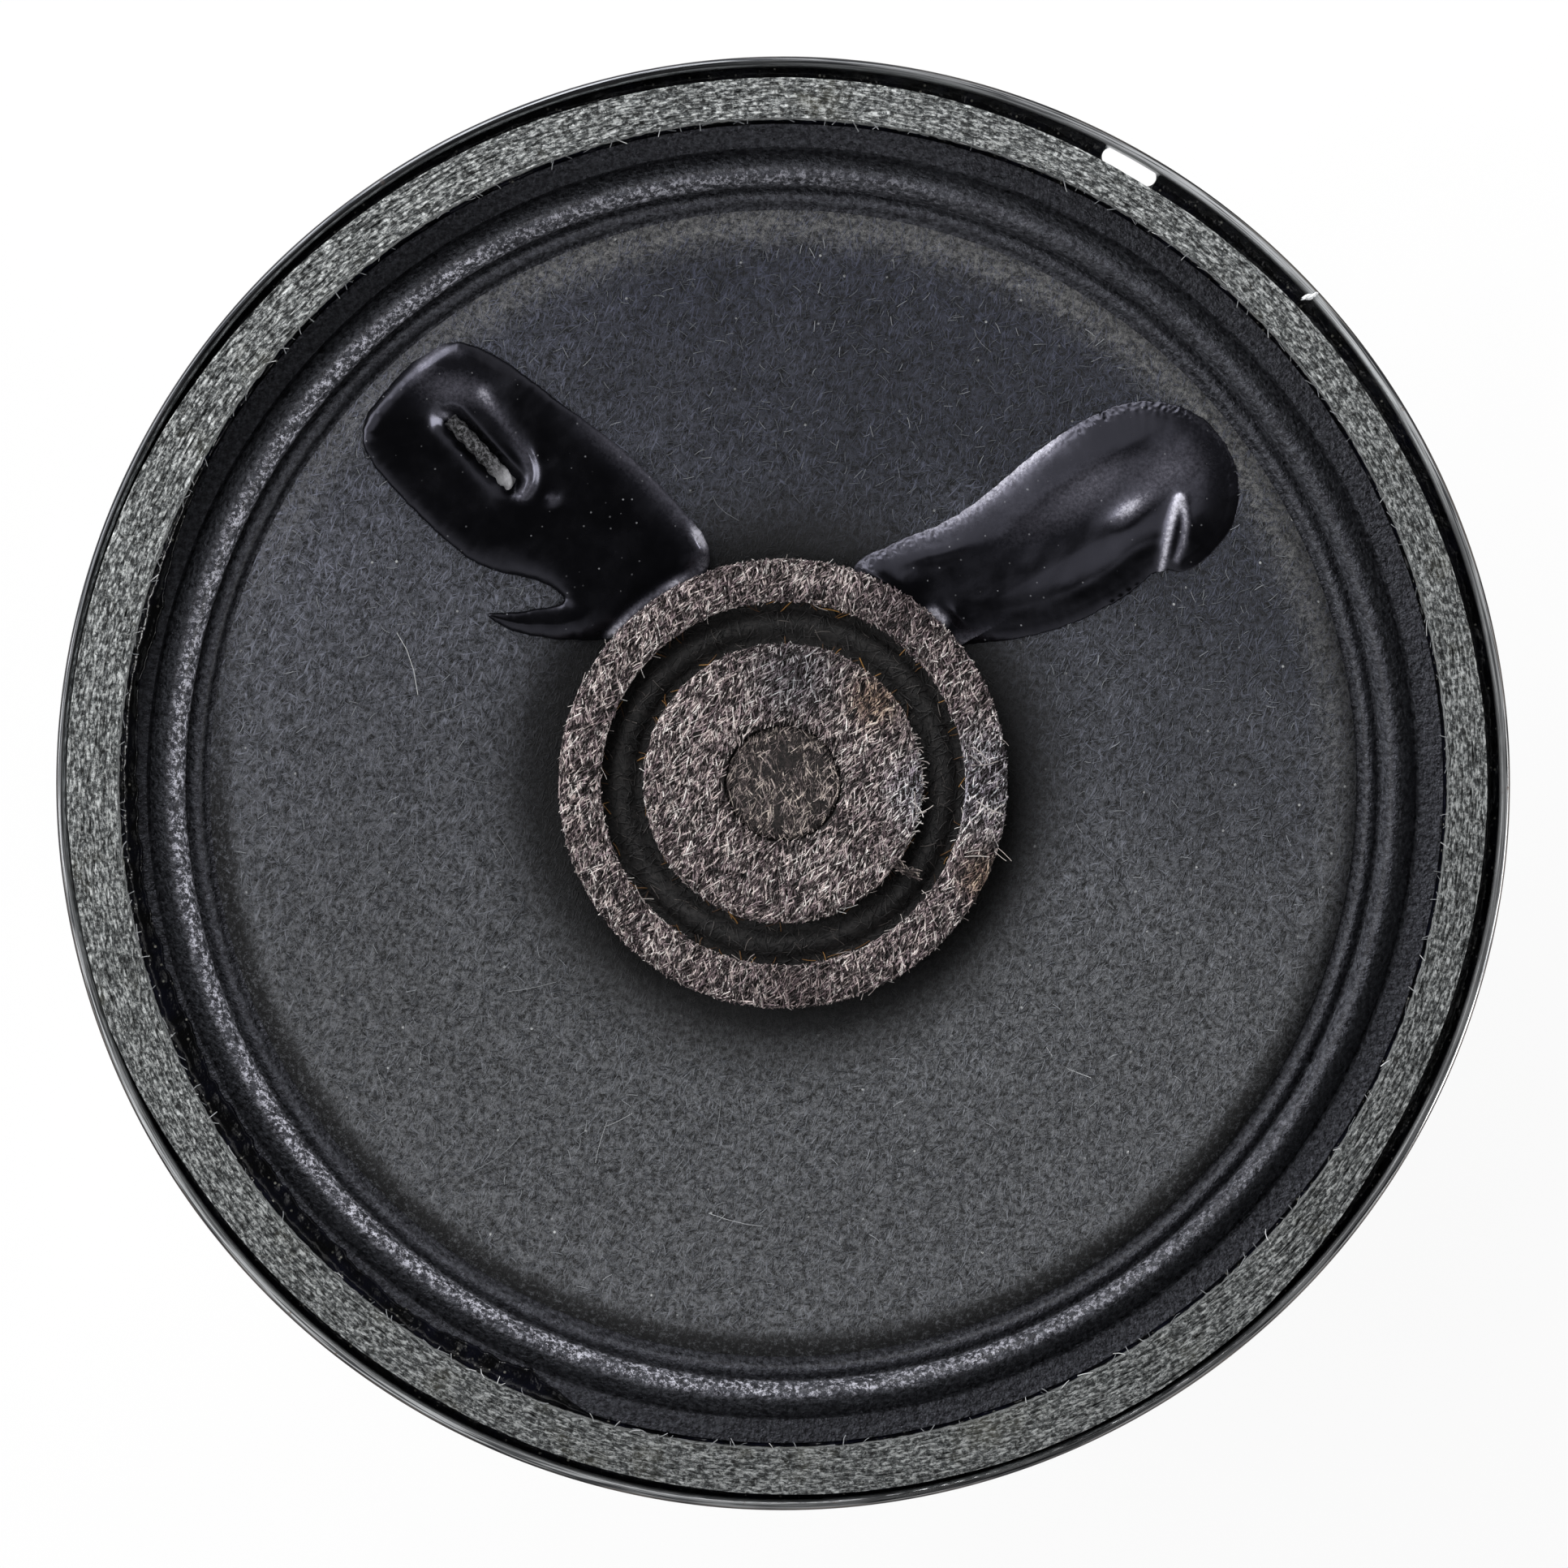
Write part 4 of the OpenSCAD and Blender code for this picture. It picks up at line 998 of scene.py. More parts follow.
# Dyed paper pulp: charcoal with a blue cast, fibres about 0.04 mm wide and 1 mm long,
# drawn 0.06 mm wide here so that they show.
pulp, tree, shader = new_material("dyed_paper_pulp")
place = in_mm(tree)
bend = add(tree, "TexNoise", {"Vector": place, "Scale": 1 / 1.3, "Detail": 1.0})
bend = add(tree, "VectorMath", {
    0: bend.outputs["Color"], 1: (0.5, 0.5, 0.5)}, operation="SUBTRACT")
bend = add(tree, "VectorMath", {0: bend, "Scale": 0.16}, operation="SCALE")
bent = add(tree, "VectorMath", {0: place, 1: bend}, operation="ADD")
lines = None
for turn_deg, across_mm, low in ((52, 0.065, 0.6), (95, 0.06, 0.6), (12, 0.06, 0.61),
                                 (70, 0.07, 0.59), (140, 0.065, 0.61)):
    laid = add(tree, "Mapping", {
        "Vector": bent, "Rotation": (0, 0, math.radians(-turn_deg)), "Location": (turn_deg, 3, 0)})
    laid = add(tree, "VectorMath", {
        0: laid, 1: (1 / 0.55, 1 / across_mm, 1 / 2.5)}, operation="MULTIPLY")
    streak = add(tree, "TexNoise", {"Vector": laid, "Scale": 1.0, "Detail": 1.5, "Roughness": 0.5})
    streak = add(tree, "MapRange", {"Value": streak, "From Min": low, "From Max": low + 0.1})
    lines = streak if lines is None else add(tree, "Math", {
        0: lines, 1: streak}, operation="MAXIMUM")
mottle, tint = mottled(tree, place, 0.24, 5.0, 0.9, [(0.42, "#0b0c0d"), (0.6, "#707276")])
# Where the dye went less deep its fibres hardly show
axes = add(tree, "SeparateXYZ", {0: place})
shown = add(tree, "MapRange", {
    "Value": axes.outputs["Y"], "From Min": -8.0, "From Max": 10.0, "To Min": 0.45, "To Max": 0.9})
tint = over(tree, tint, "#8f929a", lines, shown)
# Painted shade: the cone is painted darker in patches towards the upper right and bluer
# towards the top, the side of the cone that faces away from the light
toward = add(tree, "VectorMath", {0: place, 1: (0.45, 0.89, 0)}, operation="DOT_PRODUCT")
patch = add(tree, "TexNoise", {"Vector": place, "Scale": 1 / 7, "Detail": 3.0})
patch = add(tree, "Math", {0: patch, 1: 16.0, 2: toward}, operation="MULTIPLY_ADD")
patch = add(tree, "MapRange", {"Value": patch, "From Min": 9.0, "From Max": 23.0, "To Max": 0.95})
tint = over(tree, tint, "#93969f", patch, way="MULTIPLY")
blue = add(tree, "MapRange", {
    "Value": axes.outputs["Y"], "From Min": -8.0, "From Max": 20.0, "To Max": 0.9})
tint = over(tree, tint, "#e4e6ff", blue, way="MULTIPLY")
tint = over(tree, tint, "#c9cbcc", specks(tree, place, 0.8, 0.085))
# Painted shadow: the pulp is painted nearly black in a ring round the cap, as the cap's shadow
radius, way = round_axis(tree, place)
spread = add(tree, "Math", {0: mottle, 1: 0.8, 2: radius}, operation="MULTIPLY_ADD")
painted_cap_shadow = add(tree, "MapRange", {
    "Value": spread, "From Min": 9.3, "From Max": 13.4, "To Min": 0.94, "To Max": 0.0}, **eased)
tint = over(tree, tint, "#101012", painted_cap_shadow)
# Painted shade and painted highlight: the cone's turned-over edge is painted black in ragged
# patches towards the bottom, which faces away from the light, and pale grey towards the top
for code, wander, start, end, most, thin, thick, least, low, high in (
        ("#08080a", 0.9, 21.75, 22.5, 0.95, 0.64, 0.5, 0.25, 0.12, -0.35),
        ("#8c8b87", 3.2, 22.2, 23.8, 0.62, 0.43, 0.6, 0.1, -0.1, 0.75)):
    crept = add(tree, "Math", {0: mottle, 1: wander, 2: radius}, operation="MULTIPLY_ADD")
    crept = add(tree, "MapRange", {
        "Value": crept, "From Min": start, "From Max": end, "To Max": most}, **eased)
    patchy = add(tree, "MapRange", {
        "Value": mottle, "From Min": thin, "From Max": thick, "To Min": least})
    tint = over(tree, tint, code, crept, facing(tree, way, (0.26, 0.97, 0), low, high), patchy)
height = add(tree, "Math", {0: lines, 1: 0.8, 2: mottle}, operation="MULTIPLY_ADD")
relief = add(tree, "Bump", {"Height": height, "Strength": 1.0, "Distance": 0.1 * mm})
feed(shader, {"Base Color": tint, "Roughness": 0.78, "Specular IOR Level": 0.4, "Normal": relief})

side = [(r, cone_z(r)) for r in (cap_r + (20.8 - cap_r) * k / 24 for k in range(25))]
turned_over = rounded([side[-1], (21.72, cone_z(21.72)), (22.3, 21.36), (rim_r, 21.14)],
                      [0, 0.5, 0.2, 0])
neck = rounded([(neck_r, neck_z - 0.9), (neck_r, neck_z), side[0]], [0, 0.35, 0])[:-1]
# The edge was pressed thin where it is glued on the cloth
under = rounded([side[-1], (shoulder_r, shoulder_z), (rim_r, rim_z)], [0, 0.585, 0])
back = moved(np.concatenate([neck, side, under[1:]]), cone_t)[::-1]
cone = finished(spun("cone_body", np.concatenate([neck, side, turned_over[1:], back])), pulp)
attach(cone, "moving_system")
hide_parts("cone")

# Fibres that lie on a surface: felt hairs, frayed board, and lint.
tree, into, out = new_growth("laid_fibres", Surface="Geometry", Density="Float", Length="Float",
                             Thickness="Float", Lay="Float", Spread="Float", Lift="Float",
                             Seed="Int", Finish="Material")
spots = add(tree, "GeometryNodeDistributePointsOnFaces", {
    "Mesh": into["Surface"], "Density": into["Density"], "Seed": into["Seed"]})
slim = add(tree, "Math", {0: into["Thickness"], 1: into["Length"]}, operation="DIVIDE")
slim = add(tree, "Math", {0: slim, 1: 0.5}, operation="MULTIPLY")
section = add(tree, "GeometryNodeCurvePrimitiveCircle", {"Resolution": 3, "Radius": slim})
kinds = add(tree, "GeometryNodeJoinGeometry")
for middle in ((0.0, 0.08, 0.03), (0.1, -0.12, 0.05), (-0.16, 0.04, 0.06), (0.2, 0.22, 0.02),
               (-0.1, -0.05, 0.04)):
    arc = add(tree, "GeometryNodeCurveQuadraticBezier", {
        "Resolution": 3, "Start": (-0.5, 0, 0), "Middle": middle, "End": (0.5, 0, 0)})
    hair = add(tree, "GeometryNodeCurveToMesh", {
        "Curve": arc, "Profile Curve": section, "Fill Caps": True})
    hair = add(tree, "GeometryNodeGeometryToInstance", {0: hair})
    feed(kinds, {0: hair})
which = add(tree, "FunctionNodeRandomValue", {4: 0, 5: 4, "Seed": 11}, data_type="INT")
low, high, down, short, long = (
    add(tree, "Math", {0: into[name], 1: by}, operation=how) for name, by, how in (
        ("Lay", into["Spread"], "SUBTRACT"), ("Lay", into["Spread"], "ADD"),
        ("Lift", -1.0, "MULTIPLY"), ("Length", 0.55, "MULTIPLY"), ("Length", 1.35, "MULTIPLY")))
turn, rise, roll, size, tone = (
    add(tree, "FunctionNodeRandomValue", {2: least, 3: most, "Seed": seed}, data_type="FLOAT")
    for least, most, seed in ((low, high, 21), (down, into["Lift"], 31), (-0.5, 0.5, 41),
                              (short, long, 51), (0.0, 1.0, 61)))
pose = add(tree, "CombineXYZ", {"Z": turn})
pose = add(tree, "FunctionNodeEulerToRotation", {0: pose})
pose = add(tree, "FunctionNodeAlignRotationToVector", {
    "Rotation": pose, "Vector": spots.outputs["Normal"]}, axis="Z")
lean = add(tree, "CombineXYZ", {"X": roll, "Y": rise})
lean = add(tree, "FunctionNodeEulerToRotation", {0: lean})
pose = add(tree, "FunctionNodeRotateRotation", {0: pose, 1: lean}, rotation_space="LOCAL")
hairs = add(tree, "GeometryNodeInstanceOnPoints", {
    "Points": spots, "Instance": kinds, "Pick Instance": True, "Instance Index": which,
    "Rotation": pose, "Scale": size})
toned = add(tree, "GeometryNodeStoreNamedAttribute", {
    0: hairs, "Name": "tone", "Value": tone}, data_type="FLOAT", domain="INSTANCE")
laid_fibres = ended(tree, into, out, toned)


def fibres(surface, length, thickness, per_mm2, lay, spread, lift, seed, material):
    """Fibres laid on a surface, and named like it; sizes in mm, angles in degrees."""
    return grown(surface.name, laid_fibres, surface, {
        "Density": per_mm2 / mm ** 2, "Length": length * mm, "Thickness": thickness * mm,
        "Lay": math.radians(lay), "Spread": math.radians(spread), "Lift": math.radians(lift),
        "Seed": seed, "Finish": material})


def disc_face(name, *paths, steps=96):
    """Open surfaces spun from paths that run outwards, for fibres to lie on."""
    points, faces = [], []
    for path in paths:
        first, count = len(points), len(path)
        for i in range(steps):
            a, after = 2 * math.pi * i / steps, (i + 1) % steps
            points += [(r * math.cos(a), r * math.sin(a), z) for r, z in path]
            faces += [(first + i * count + k, first + i * count + k + 1,
                       first + after * count + k + 1, first + after * count + k)
                      for k in range(count - 1)]
    return new_mesh(name, points, faces)


def hair_material(name, stops, roughness):
    """Fibres of mixed colours: each takes its own from the stops (position, colour)."""
    material, tree, shader = new_material(name)
    own = add(tree, "Attribute", attribute_name="tone")
    ramp = add(tree, "ValToRGB", {0: own.outputs["Fac"]}, stops=stops)
    feed(shader, {"Base Color": ramp, "Roughness": roughness})
    return material


# Undyed pulp fibres caught in the face: grey, a little shiny.
pulp_hair = hair_material("loose_pulp_fibre", [(0.0, "#1f2125"), (0.5, "#43464c"),
                                               (0.9, "#64676e"), (1.0, "#94979b")], 0.6)
piece = fibres(disc_face("cone_fibres", [
    (r, cone_z(r) + 0.008) for r in (11.2, 13.0, 15.0, 18.0, 21.6)]),
    0.36, 0.026, 8.5, 66, 80, 2, 5, pulp_hair)
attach(piece, "moving_system")

# Lint from the room: a few long pale hairs that settled on the face.
lint_hair = hair_material("settled_lint", [(0.0, "#6f7276"), (0.8, "#a3a5a8"),
                                           (1.0, "#e6e7e8")], 0.6)
piece = fibres(disc_face("cone_lint", [
    (r, cone_z(r) + 0.03) for r in (10.5, 13.0, 16.0, 18.0, 20.5)]),
    2.0, 0.028, 0.016, 60, 90, 1, 14, lint_hair)
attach(piece, "moving_system")

# The same lint and the strip's own fibres fray from the gasket's cut inner edge.
piece = fibres(disc_face("gasket_fray", [(25.94, 22.86), (26.1, 22.9)], steps=180),
               0.5, 0.035, 10.0, 60, 90, 12, 15, lint_hair)
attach(piece, "chassis")


# Leads: tinsel braid from the coil's wires to the lugs.
# Flat silvered copper foil is spun round cotton and twisted. Each lead is stitched through the
# cone, the bare coil wire is soldered to the stitch, and the slack hangs through a window.

# Silvered tinsel: thin metal foil over thread, grey and glinting.
tinsel = grained("silvered_tinsel", 0.12, 3.0, 0.7, [(0.35, "#5d5c5c"), (0.7, "#c4c4c6")],
                 {"Metallic": 0.85, "Roughness": 0.38}, (0.7, 0.05))

# The same tinsel where it lies in the dope: nearly all of it is blackened and crusted, and
# only the left stitch's inner end is bare.
crusted_tinsel, tree, shader = new_material("crusted_tinsel")
place = in_mm(tree)
crust, tint = mottled(tree, place, 0.16, 4.0, 0.8, [(0.44, "#0c0c0e"), (0.64, "#8e8e92")])
away = add(tree, "VectorMath", {0: place, 1: (-10.85, 11.9, 19.9)}, operation="DISTANCE")
end = add(tree, "MapRange", {"Value": away, "From Min": 0.95, "From Max": 0.35, "To Max": 0.8})
relief = add(tree, "Bump", {"Height": crust, "Strength": 1.0, "Distance": 0.16 * mm})
feed(shader, {"Base Color": over(tree, tint, "#d2d2d6", end), "Metallic": 0.5,
              "Roughness": 0.45, "Normal": relief})

tree, into, out = new_growth("twisted_strands", Path="Geometry", Radius="Float", Pitch="Float",
                             Strands="Int", Finish="Material")
line = add(tree, "GeometryNodeMeshToCurve", {0: into["Path"]})
run = add(tree, "GeometryNodeSplineParameter")
turns = add(tree, "Math", {0: run.outputs["Length"], 1: into["Pitch"]}, operation="DIVIDE")
turns = add(tree, "Math", {0: turns, 1: 2 * math.pi}, operation="MULTIPLY")
line = add(tree, "GeometryNodeSetCurveTilt", {"Curve": line, "Tilt": turns})
# The section is a circle with one bulge for each strand
sides = add(tree, "Math", {0: into["Strands"], 1: 6.0}, operation="MULTIPLY")
ring = add(tree, "GeometryNodeCurvePrimitiveCircle", {"Resolution": sides, "Radius": 1.0})
number = add(tree, "GeometryNodeInputIndex")
phase = add(tree, "Math", {0: number, 1: 2 * math.pi / 6}, operation="MULTIPLY")
bulge = add(tree, "Math", {0: phase}, operation="COSINE")
reach = add(tree, "Math", {0: bulge, 1: 0.13, 2: 0.87}, operation="MULTIPLY_ADD")
reach = add(tree, "Math", {0: reach, 1: into["Radius"]}, operation="MULTIPLY")
spot = add(tree, "GeometryNodeInputPosition")
spot = add(tree, "VectorMath", {0: spot, "Scale": reach}, operation="SCALE")
ring = add(tree, "GeometryNodeSetPosition", {"Geometry": ring, "Position": spot})
rope = add(tree, "GeometryNodeCurveToMesh", {
    "Curve": line, "Profile Curve": ring, "Fill Caps": True})
smooth = add(tree, "GeometryNodeSetShadeSmooth", {0: rope})
twisted_strands = ended(tree, into, out, smooth)


def braid(name, points, diameter, pitch, strands, material):
    """Twisted strands along a path of points in mm."""
    return grown(name, twisted_strands, path_through(name, points), {
        "Radius": diameter / 2 * mm, "Pitch": pitch * mm, "Strands": strands,
        "Finish": material})


def cubic(points, t):
    """Point of the cubic curve through four control points."""
    a, b, c, d = (np.array(p, float) for p in points)
    return ((1 - t) ** 3 * a + 3 * t * (1 - t) ** 2 * b + 3 * t ** 2 * (1 - t) * c
            + t ** 3 * d)


lead_d = 0.6
reach = shoulder_r - cap_r
left_r, right_r = cap_r + 0.678 * reach, cap_r + 0.563 * reach
for word, angle, r, way, slack, wide, high in (
        ("left", left_angle, left_r, -1, 0.52, 0.7, 0.3),
        ("right", right_angle, right_r, 1, 0.78, 0.44, 0.17)):
    a = math.radians(angle)
    start = np.array([r * math.cos(a), r * math.sin(a), cone_z(r) - lead_d / 4])
    end = np.array([way * 8.92, pad_y, lug_z - 0.51])
    fall = start[2] - end[2]
    control = [start, start - (0, 0, 0.46 * fall),
               end + (0.7 * way * lead_d, -0.5 * lead_d, slack * fall), end]
    lead = braid(f"lead_{word}_braid", [cubic(control, t) for t in np.linspace(0, 1, 61)],
                 lead_d, 1.3, 4, tinsel)
    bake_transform(lead)
    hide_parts(f"tinsel_lead_{word}")
    half = 1.75 * math.cos(math.atan(slope))
    along = np.linspace(-half, half, 24)
    flank = [(q, high - (high - 0.05) * (abs(q) / half) ** 5) for q in along]
    way_out = np.array([math.cos(a), math.sin(a)])
    stitch = braid(f"stitch_{word}_braid", [
        (*(way_out * (r + q)), cone_z(r + q) + lift) for q, lift in flank], wide, 1.9, 3,
        crusted_tinsel)
    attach(stitch, "moving_system")
    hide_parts(f"lead_stitch_{word}")


# Lead cement: black synthetic dope poured over each stitch and the coil's wire.
# It ran out along the cone to the cap, drew in at its edges as it dried, and set to a deep
# gloss. The left one sank round the stitch and left it bare, the right one folded.

left_blob = [[0.966, -0.172], [0.847, -0.234], [0.633, -0.279], [0.395, -0.324],
             [0.135, -0.336], [-0.024, -0.299], [-0.09, -0.092], [0.015, 0.114],
             [0.178, 0.272], [0.303, 0.319], [0.24, 0.232], [0.179, 0.122], [0.261, 0.129],
             [0.4, 0.22], [0.516, 0.255], [0.703, 0.269], [0.891, 0.26], [0.98, 0.192],
             [1.01, 0.031], [1.005, -0.071]]
right_blob = [[-0.143, 0.412], [0.021, 0.416], [0.153, 0.388], [0.294, 0.383], [0.515, 0.404],
              [0.725, 0.399], [0.887, 0.336], [0.99, 0.193], [0.98, 0.007], [0.871, -0.12],
              [0.705, -0.155], [0.614, -0.103], [0.487, -0.11], [0.28, -0.081],
              [0.065, 0.012], [-0.08, 0.123]]

# Synthetic dope: jet black and glossy like wet paint, with dust specks and pinholes.
dope, tree, shader = new_material("black_lead_dope")
place = in_mm(tree)
tint = add(tree, "Mix", {
    0: specks(tree, place, 0.45, 0.06), 6: colour("#050506"), 7: colour("#8f9094")},
    data_type="RGBA")
# Painted sheen and painted highlights: the dope is painted paler in places; the mesh holds how
# much
blush = add(tree, "Attribute", attribute_name="blush").outputs["Fac"]
uneven = patches(tree, place, 0.14, 4.0, 0.75, 0.36, 0.62, 1.14, 0.8)
blush = add(tree, "Math", {0: blush, 1: uneven}, operation="MULTIPLY")
painted_sheen_tone = add(tree, "ValToRGB", {0: blush}, stops=[
    (0.0, "#050506"), (0.25, "#2b2b32"), (0.6, "#6a6974"), (1.0, "#cbcad6")])
tint = add(tree, "Mix", {0: blush, 6: tint, 7: painted_sheen_tone}, data_type="RGBA")
gloss = patches(tree, place, 1.6, 4.0, 0.6, 0.35, 0.7, 0.34, 0.16)
pores = add(tree, "TexNoise", {"Vector": place, "Scale": 1 / 0.25, "Detail": 2.0})
relief = add(tree, "Bump", {"Height": pores, "Strength": 0.12, "Distance": 0.03 * mm})
feed(shader, {"Base Color": tint, "Roughness": gloss, "Specular Tint": colour("#dcdcf4"),
              "Normal": relief})


def loop_through(points, n):
    """Smooth closed curve through points, with n steps between neighbours."""
    p = np.array(points, float)
    out = []
    for i in range(len(p)):
        a, b, c, d = p[i - 1], p[i], p[(i + 1) % len(p)], p[(i + 2) % len(p)]
        for k in range(n):
            t = k / n
            out.append(b + (c - a) * t / 2 + (2 * a - 5 * b + 4 * c - d) * t ** 2 / 2
                       + (3 * b - a - 3 * c + d) * t ** 3 / 2)
    return np.array(out)


def distance_to(points, steps):
    """Distance from each point to the nearest of some straight steps."""
    best = np.full(len(points), 1e9)
    for a, b in steps:
        way = b - a
        t = np.clip((points - a) @ way / (way @ way), 0, 1)
        best = np.minimum(best, np.linalg.norm(points - a - t[:, None] * way, axis=1))
    return best


def steps_of(line):
    """The straight steps of a path."""
    line = np.array(line, float)
    return list(zip(line[:-1], line[1:]))


def swells(flat, places):
    """Soft bumps and hollows: x, y and half sizes in mm, turn in degrees, and rise."""
    total = np.zeros(len(flat))
    for x, y, long, wide, turn, rise in places:
        t = math.radians(turn)
        u = (flat[:, 0] - x) * math.cos(t) + (flat[:, 1] - y) * math.sin(t)
        v = (flat[:, 1] - y) * math.cos(t) - (flat[:, 0] - x) * math.sin(t)
        total += rise * np.exp(-(u / long) ** 2 - (v / wide) ** 2)
    return total


def rough(flat, size, seed):
    """Random unevenness of about this size in mm."""
    return np.array([noise.noise(Vector((x / size, y / size, seed))) for x, y in flat])


def poured(name, blob, angle, full, edge_w, round_by, shape, painted_sheen_at, node):
    """A poured patch on the cone's face inside an outline.

    It thins over edge_w towards its free edge, more gently the nearer round_by is to 1, and
    climbs a little up the cap's side. shape changes the height at the points, where the patch
    swells, folds or sinks, and painted_sheen_at gives how much painted sheen it has there.
    """
    a = math.radians(angle)
    turned = np.array([[math.cos(a), math.sin(a)], [-math.sin(a), math.cos(a)]])
    rim = (np.array([cap_r, 0]) + reach * loop_through(blob, 12)) @ turned
    rim += 0.05 * np.column_stack([rough(rim, 0.35, 3), rough(rim, 0.35, 8)])
    away = np.linalg.norm(rim, axis=1)
    rim *= (np.maximum(away, cap_r + 0.02) / away)[:, None]
    closed = steps_of(np.vstack([rim, rim[:1]]))
    free = [(p, q) for p, q in closed if max(np.linalg.norm(p), np.linalg.norm(q)) > cap_r + 0.08]
    low, high = rim.min(0), rim.max(0)
    found = []
    for pitch, near, far in ((0.045, 0.03, 0.4), (0.09, 0.4, 99)):
        rows = np.arange(low[1], high[1], pitch * 0.866)
        xs = np.arange(low[0], high[0], pitch)
        grid = np.array([(x + pitch / 2 * (j % 2), y) for j, y in enumerate(rows) for x in xs])
        crossing = np.zeros(len(grid), bool)
        for p, q in closed:
            between = (p[1] > grid[:, 1]) != (q[1] > grid[:, 1])
            if p[1] != q[1]:
                at = p[0] + (grid[:, 1] - p[1]) * (q[0] - p[0]) / (q[1] - p[1])
                crossing ^= between & (grid[:, 0] < at)
        grid = grid[crossing]
        gap = distance_to(grid, closed)
        found.append(grid[(gap > near) & (gap <= far)])
    points = np.vstack([rim] + found)
    count = len(rim)
    edges = [(i, (i + 1) % count) for i in range(count)]
    flat, _, faces, *_ = geometry.delaunay_2d_cdt(
        [Vector(p) for p in points], edges, [], 1, 1e-6)
    flat = np.array([tuple(p) for p in flat])
    gap = distance_to(flat, free)
    share = np.clip(gap / edge_w, 0, 1)
    body = (1 - (1 - share) ** 2) ** round_by
    r = np.linalg.norm(flat, axis=1)
    height = full * body * (1 + 0.11 * rough(flat, 2.2, 1) + 0.03 * rough(flat, 0.7, 6))
    height += 0.14 * np.exp(-((r - cap_r) / 0.3) ** 2) * np.minimum(body * 3, 1)
    height = np.clip(shape(flat, height, gap), 0.02 * share, 0.74)
    base = np.where(r < side[-1][0], cone_z(r), np.interp(r, *turned_over.T))
    upper = np.column_stack([flat, base + height - 0.03 * (gap < 1e-4)])
    lower = np.column_stack([flat, base - 0.06])
    n = len(flat)
    solid = [tuple(f) for f in faces] + [tuple(i + n for i in f[::-1]) for f in faces]
    pairs = {(p, q) for f in faces for p, q in zip(f, list(f[1:]) + [f[0]])}
    solid += [(q, p, p + n, q + n) for p, q in sorted(pairs) if (q, p) not in pairs]
    mesh = new_mesh(name, np.vstack([upper, lower]), solid)
    blush = np.tile(np.clip(painted_sheen_at(flat, gap), 0, 1), 2).astype(np.float32)
    mesh.attributes.new("blush", "FLOAT", "POINT").data.foreach_set("value", blush)
    work = bmesh.new()
    work.from_mesh(mesh)
    bmesh.ops.recalc_face_normals(work, faces=work.faces)
    work.to_mesh(mesh)
    work.free()
    piece = finished(mesh, dope, 75)
    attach(piece, "moving_system")
    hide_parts(node)


a = math.radians(left_angle)
left_way = np.array([math.cos(a), math.sin(a)])
stitch_line = steps_of([left_way * (left_r - 1.6), left_way * (left_r + 1.6)])
left_ridge = steps_of([cubic([(-11.75, 15.3), (-11.0, 13.9), (-9.1, 12.5), (-10.3, 11.38)], t)
                       for t in np.linspace(0, 1, 25)])


def left_surface(flat, height, gap):
    """The dope sank at the left of the stitch, and a ridge curls round its other side."""
    near = distance_to(flat, stitch_line)
    left = (flat[:, 0] + 11.9) * left_way[1] - (flat[:, 1] - 13.145) * left_way[0] < 0
    pit = 1 / (1 + np.exp((near - np.where(left, 0.62, 0.5)) / np.where(left, 0.17, 0.08)))
    ridge = distance_to(flat, left_ridge)
    width = np.interp(flat[:, 1], (11.4, 13.0, 15.3), (0.2, 0.26, 0.6))
    high = np.interp(flat[:, 1], (11.4, 13.0, 14.2, 15.3), (0.2, 0.2, 0.1, 0.04))
    height = height * (1 - 0.86 * pit) + high * np.exp(-(ridge / width) ** 2) * (1 - 0.7 * pit)
    edge = np.minimum(gap / 0.5, 1)
    return height + edge * swells(flat, [
        (-12.0, 15.2, 1.4, 1.1, 120, 0.2), (-9.11, 11.24, 0.34, 0.26, 40, 0.14),
        (-5.9, 9.9, 2.4, 0.8, 135, 0.07), (-8.8, 7.4, 0.5, 0.3, 15, 0.07),
        (-3.5, 9.7, 0.5, 0.16, 120, 0.14), (-13.6, 15.9, 1.2, 0.8, 45, 0.08),
        (-8.2, 12.6, 2.6, 0.6, 135, -0.1), (-13.2, 12.0, 1.4, 0.7, 120, -0.06)])


def left_painted_sheen(flat, gap):
    """Painted sheen above the stitch, on the ridge, along the upper edge, and where it met the
    felt.
    """
    r = np.linalg.norm(flat, axis=1)
    turn = np.degrees(np.arctan2(flat[:, 1], flat[:, 0]))
    by_felt = np.interp(turn, (112, 118, 124, 132, 139, 143), (0, 0.8, 0.55, 0.65, 1, 0))
    across = np.clip((flat @ (0.738, 0.674) - 0.6) / 0.6, 0, 1) * np.clip((19.0 - r) / 4.0, 0, 1)
    curl = np.exp(-(distance_to(flat, left_ridge) / 0.34) ** 2)
    return (swells(flat, [
        (-13.0, 15.45, 1.7, 1.0, 0, 0.52), (-14.0, 16.6, 0.9, 0.35, 45, 0.5),
        (-13.0, 17.0, 0.7, 0.3, -10, 0.4), (-13.25, 14.44, 0.35, 0.15, -20, 0.6),
        (-9.11, 11.24, 0.34, 0.26, 40, 0.5), (-3.35, 9.75, 0.5, 0.2, 120, 0.8),
        (-3.1, 8.7, 0.5, 0.4, 0, 0.3)])
            + curl * np.interp(flat[:, 1], (11.3, 12.5, 14.0, 15.3), (0.62, 0.5, 0.42, 0.5))
            + 0.46 * across * np.exp(-(gap / 0.9) ** 2)
            + by_felt * np.exp(-((r - 9.02) / 0.26) ** 2))


poured("dope_left_patch", left_blob, left_angle, 0.52, 1.5, 0.7, left_surface, left_painted_sheen,
       "dope_left")

left_crease = steps_of([(14.9, 8.4), (15.1, 9.4), (15.25, 10.2), (15.45, 10.9), (15.6, 11.2)])
right_crease = steps_of([(15.5, 8.8), (15.78, 9.5), (15.86, 10.2), (15.78, 10.8), (15.6, 11.2)])


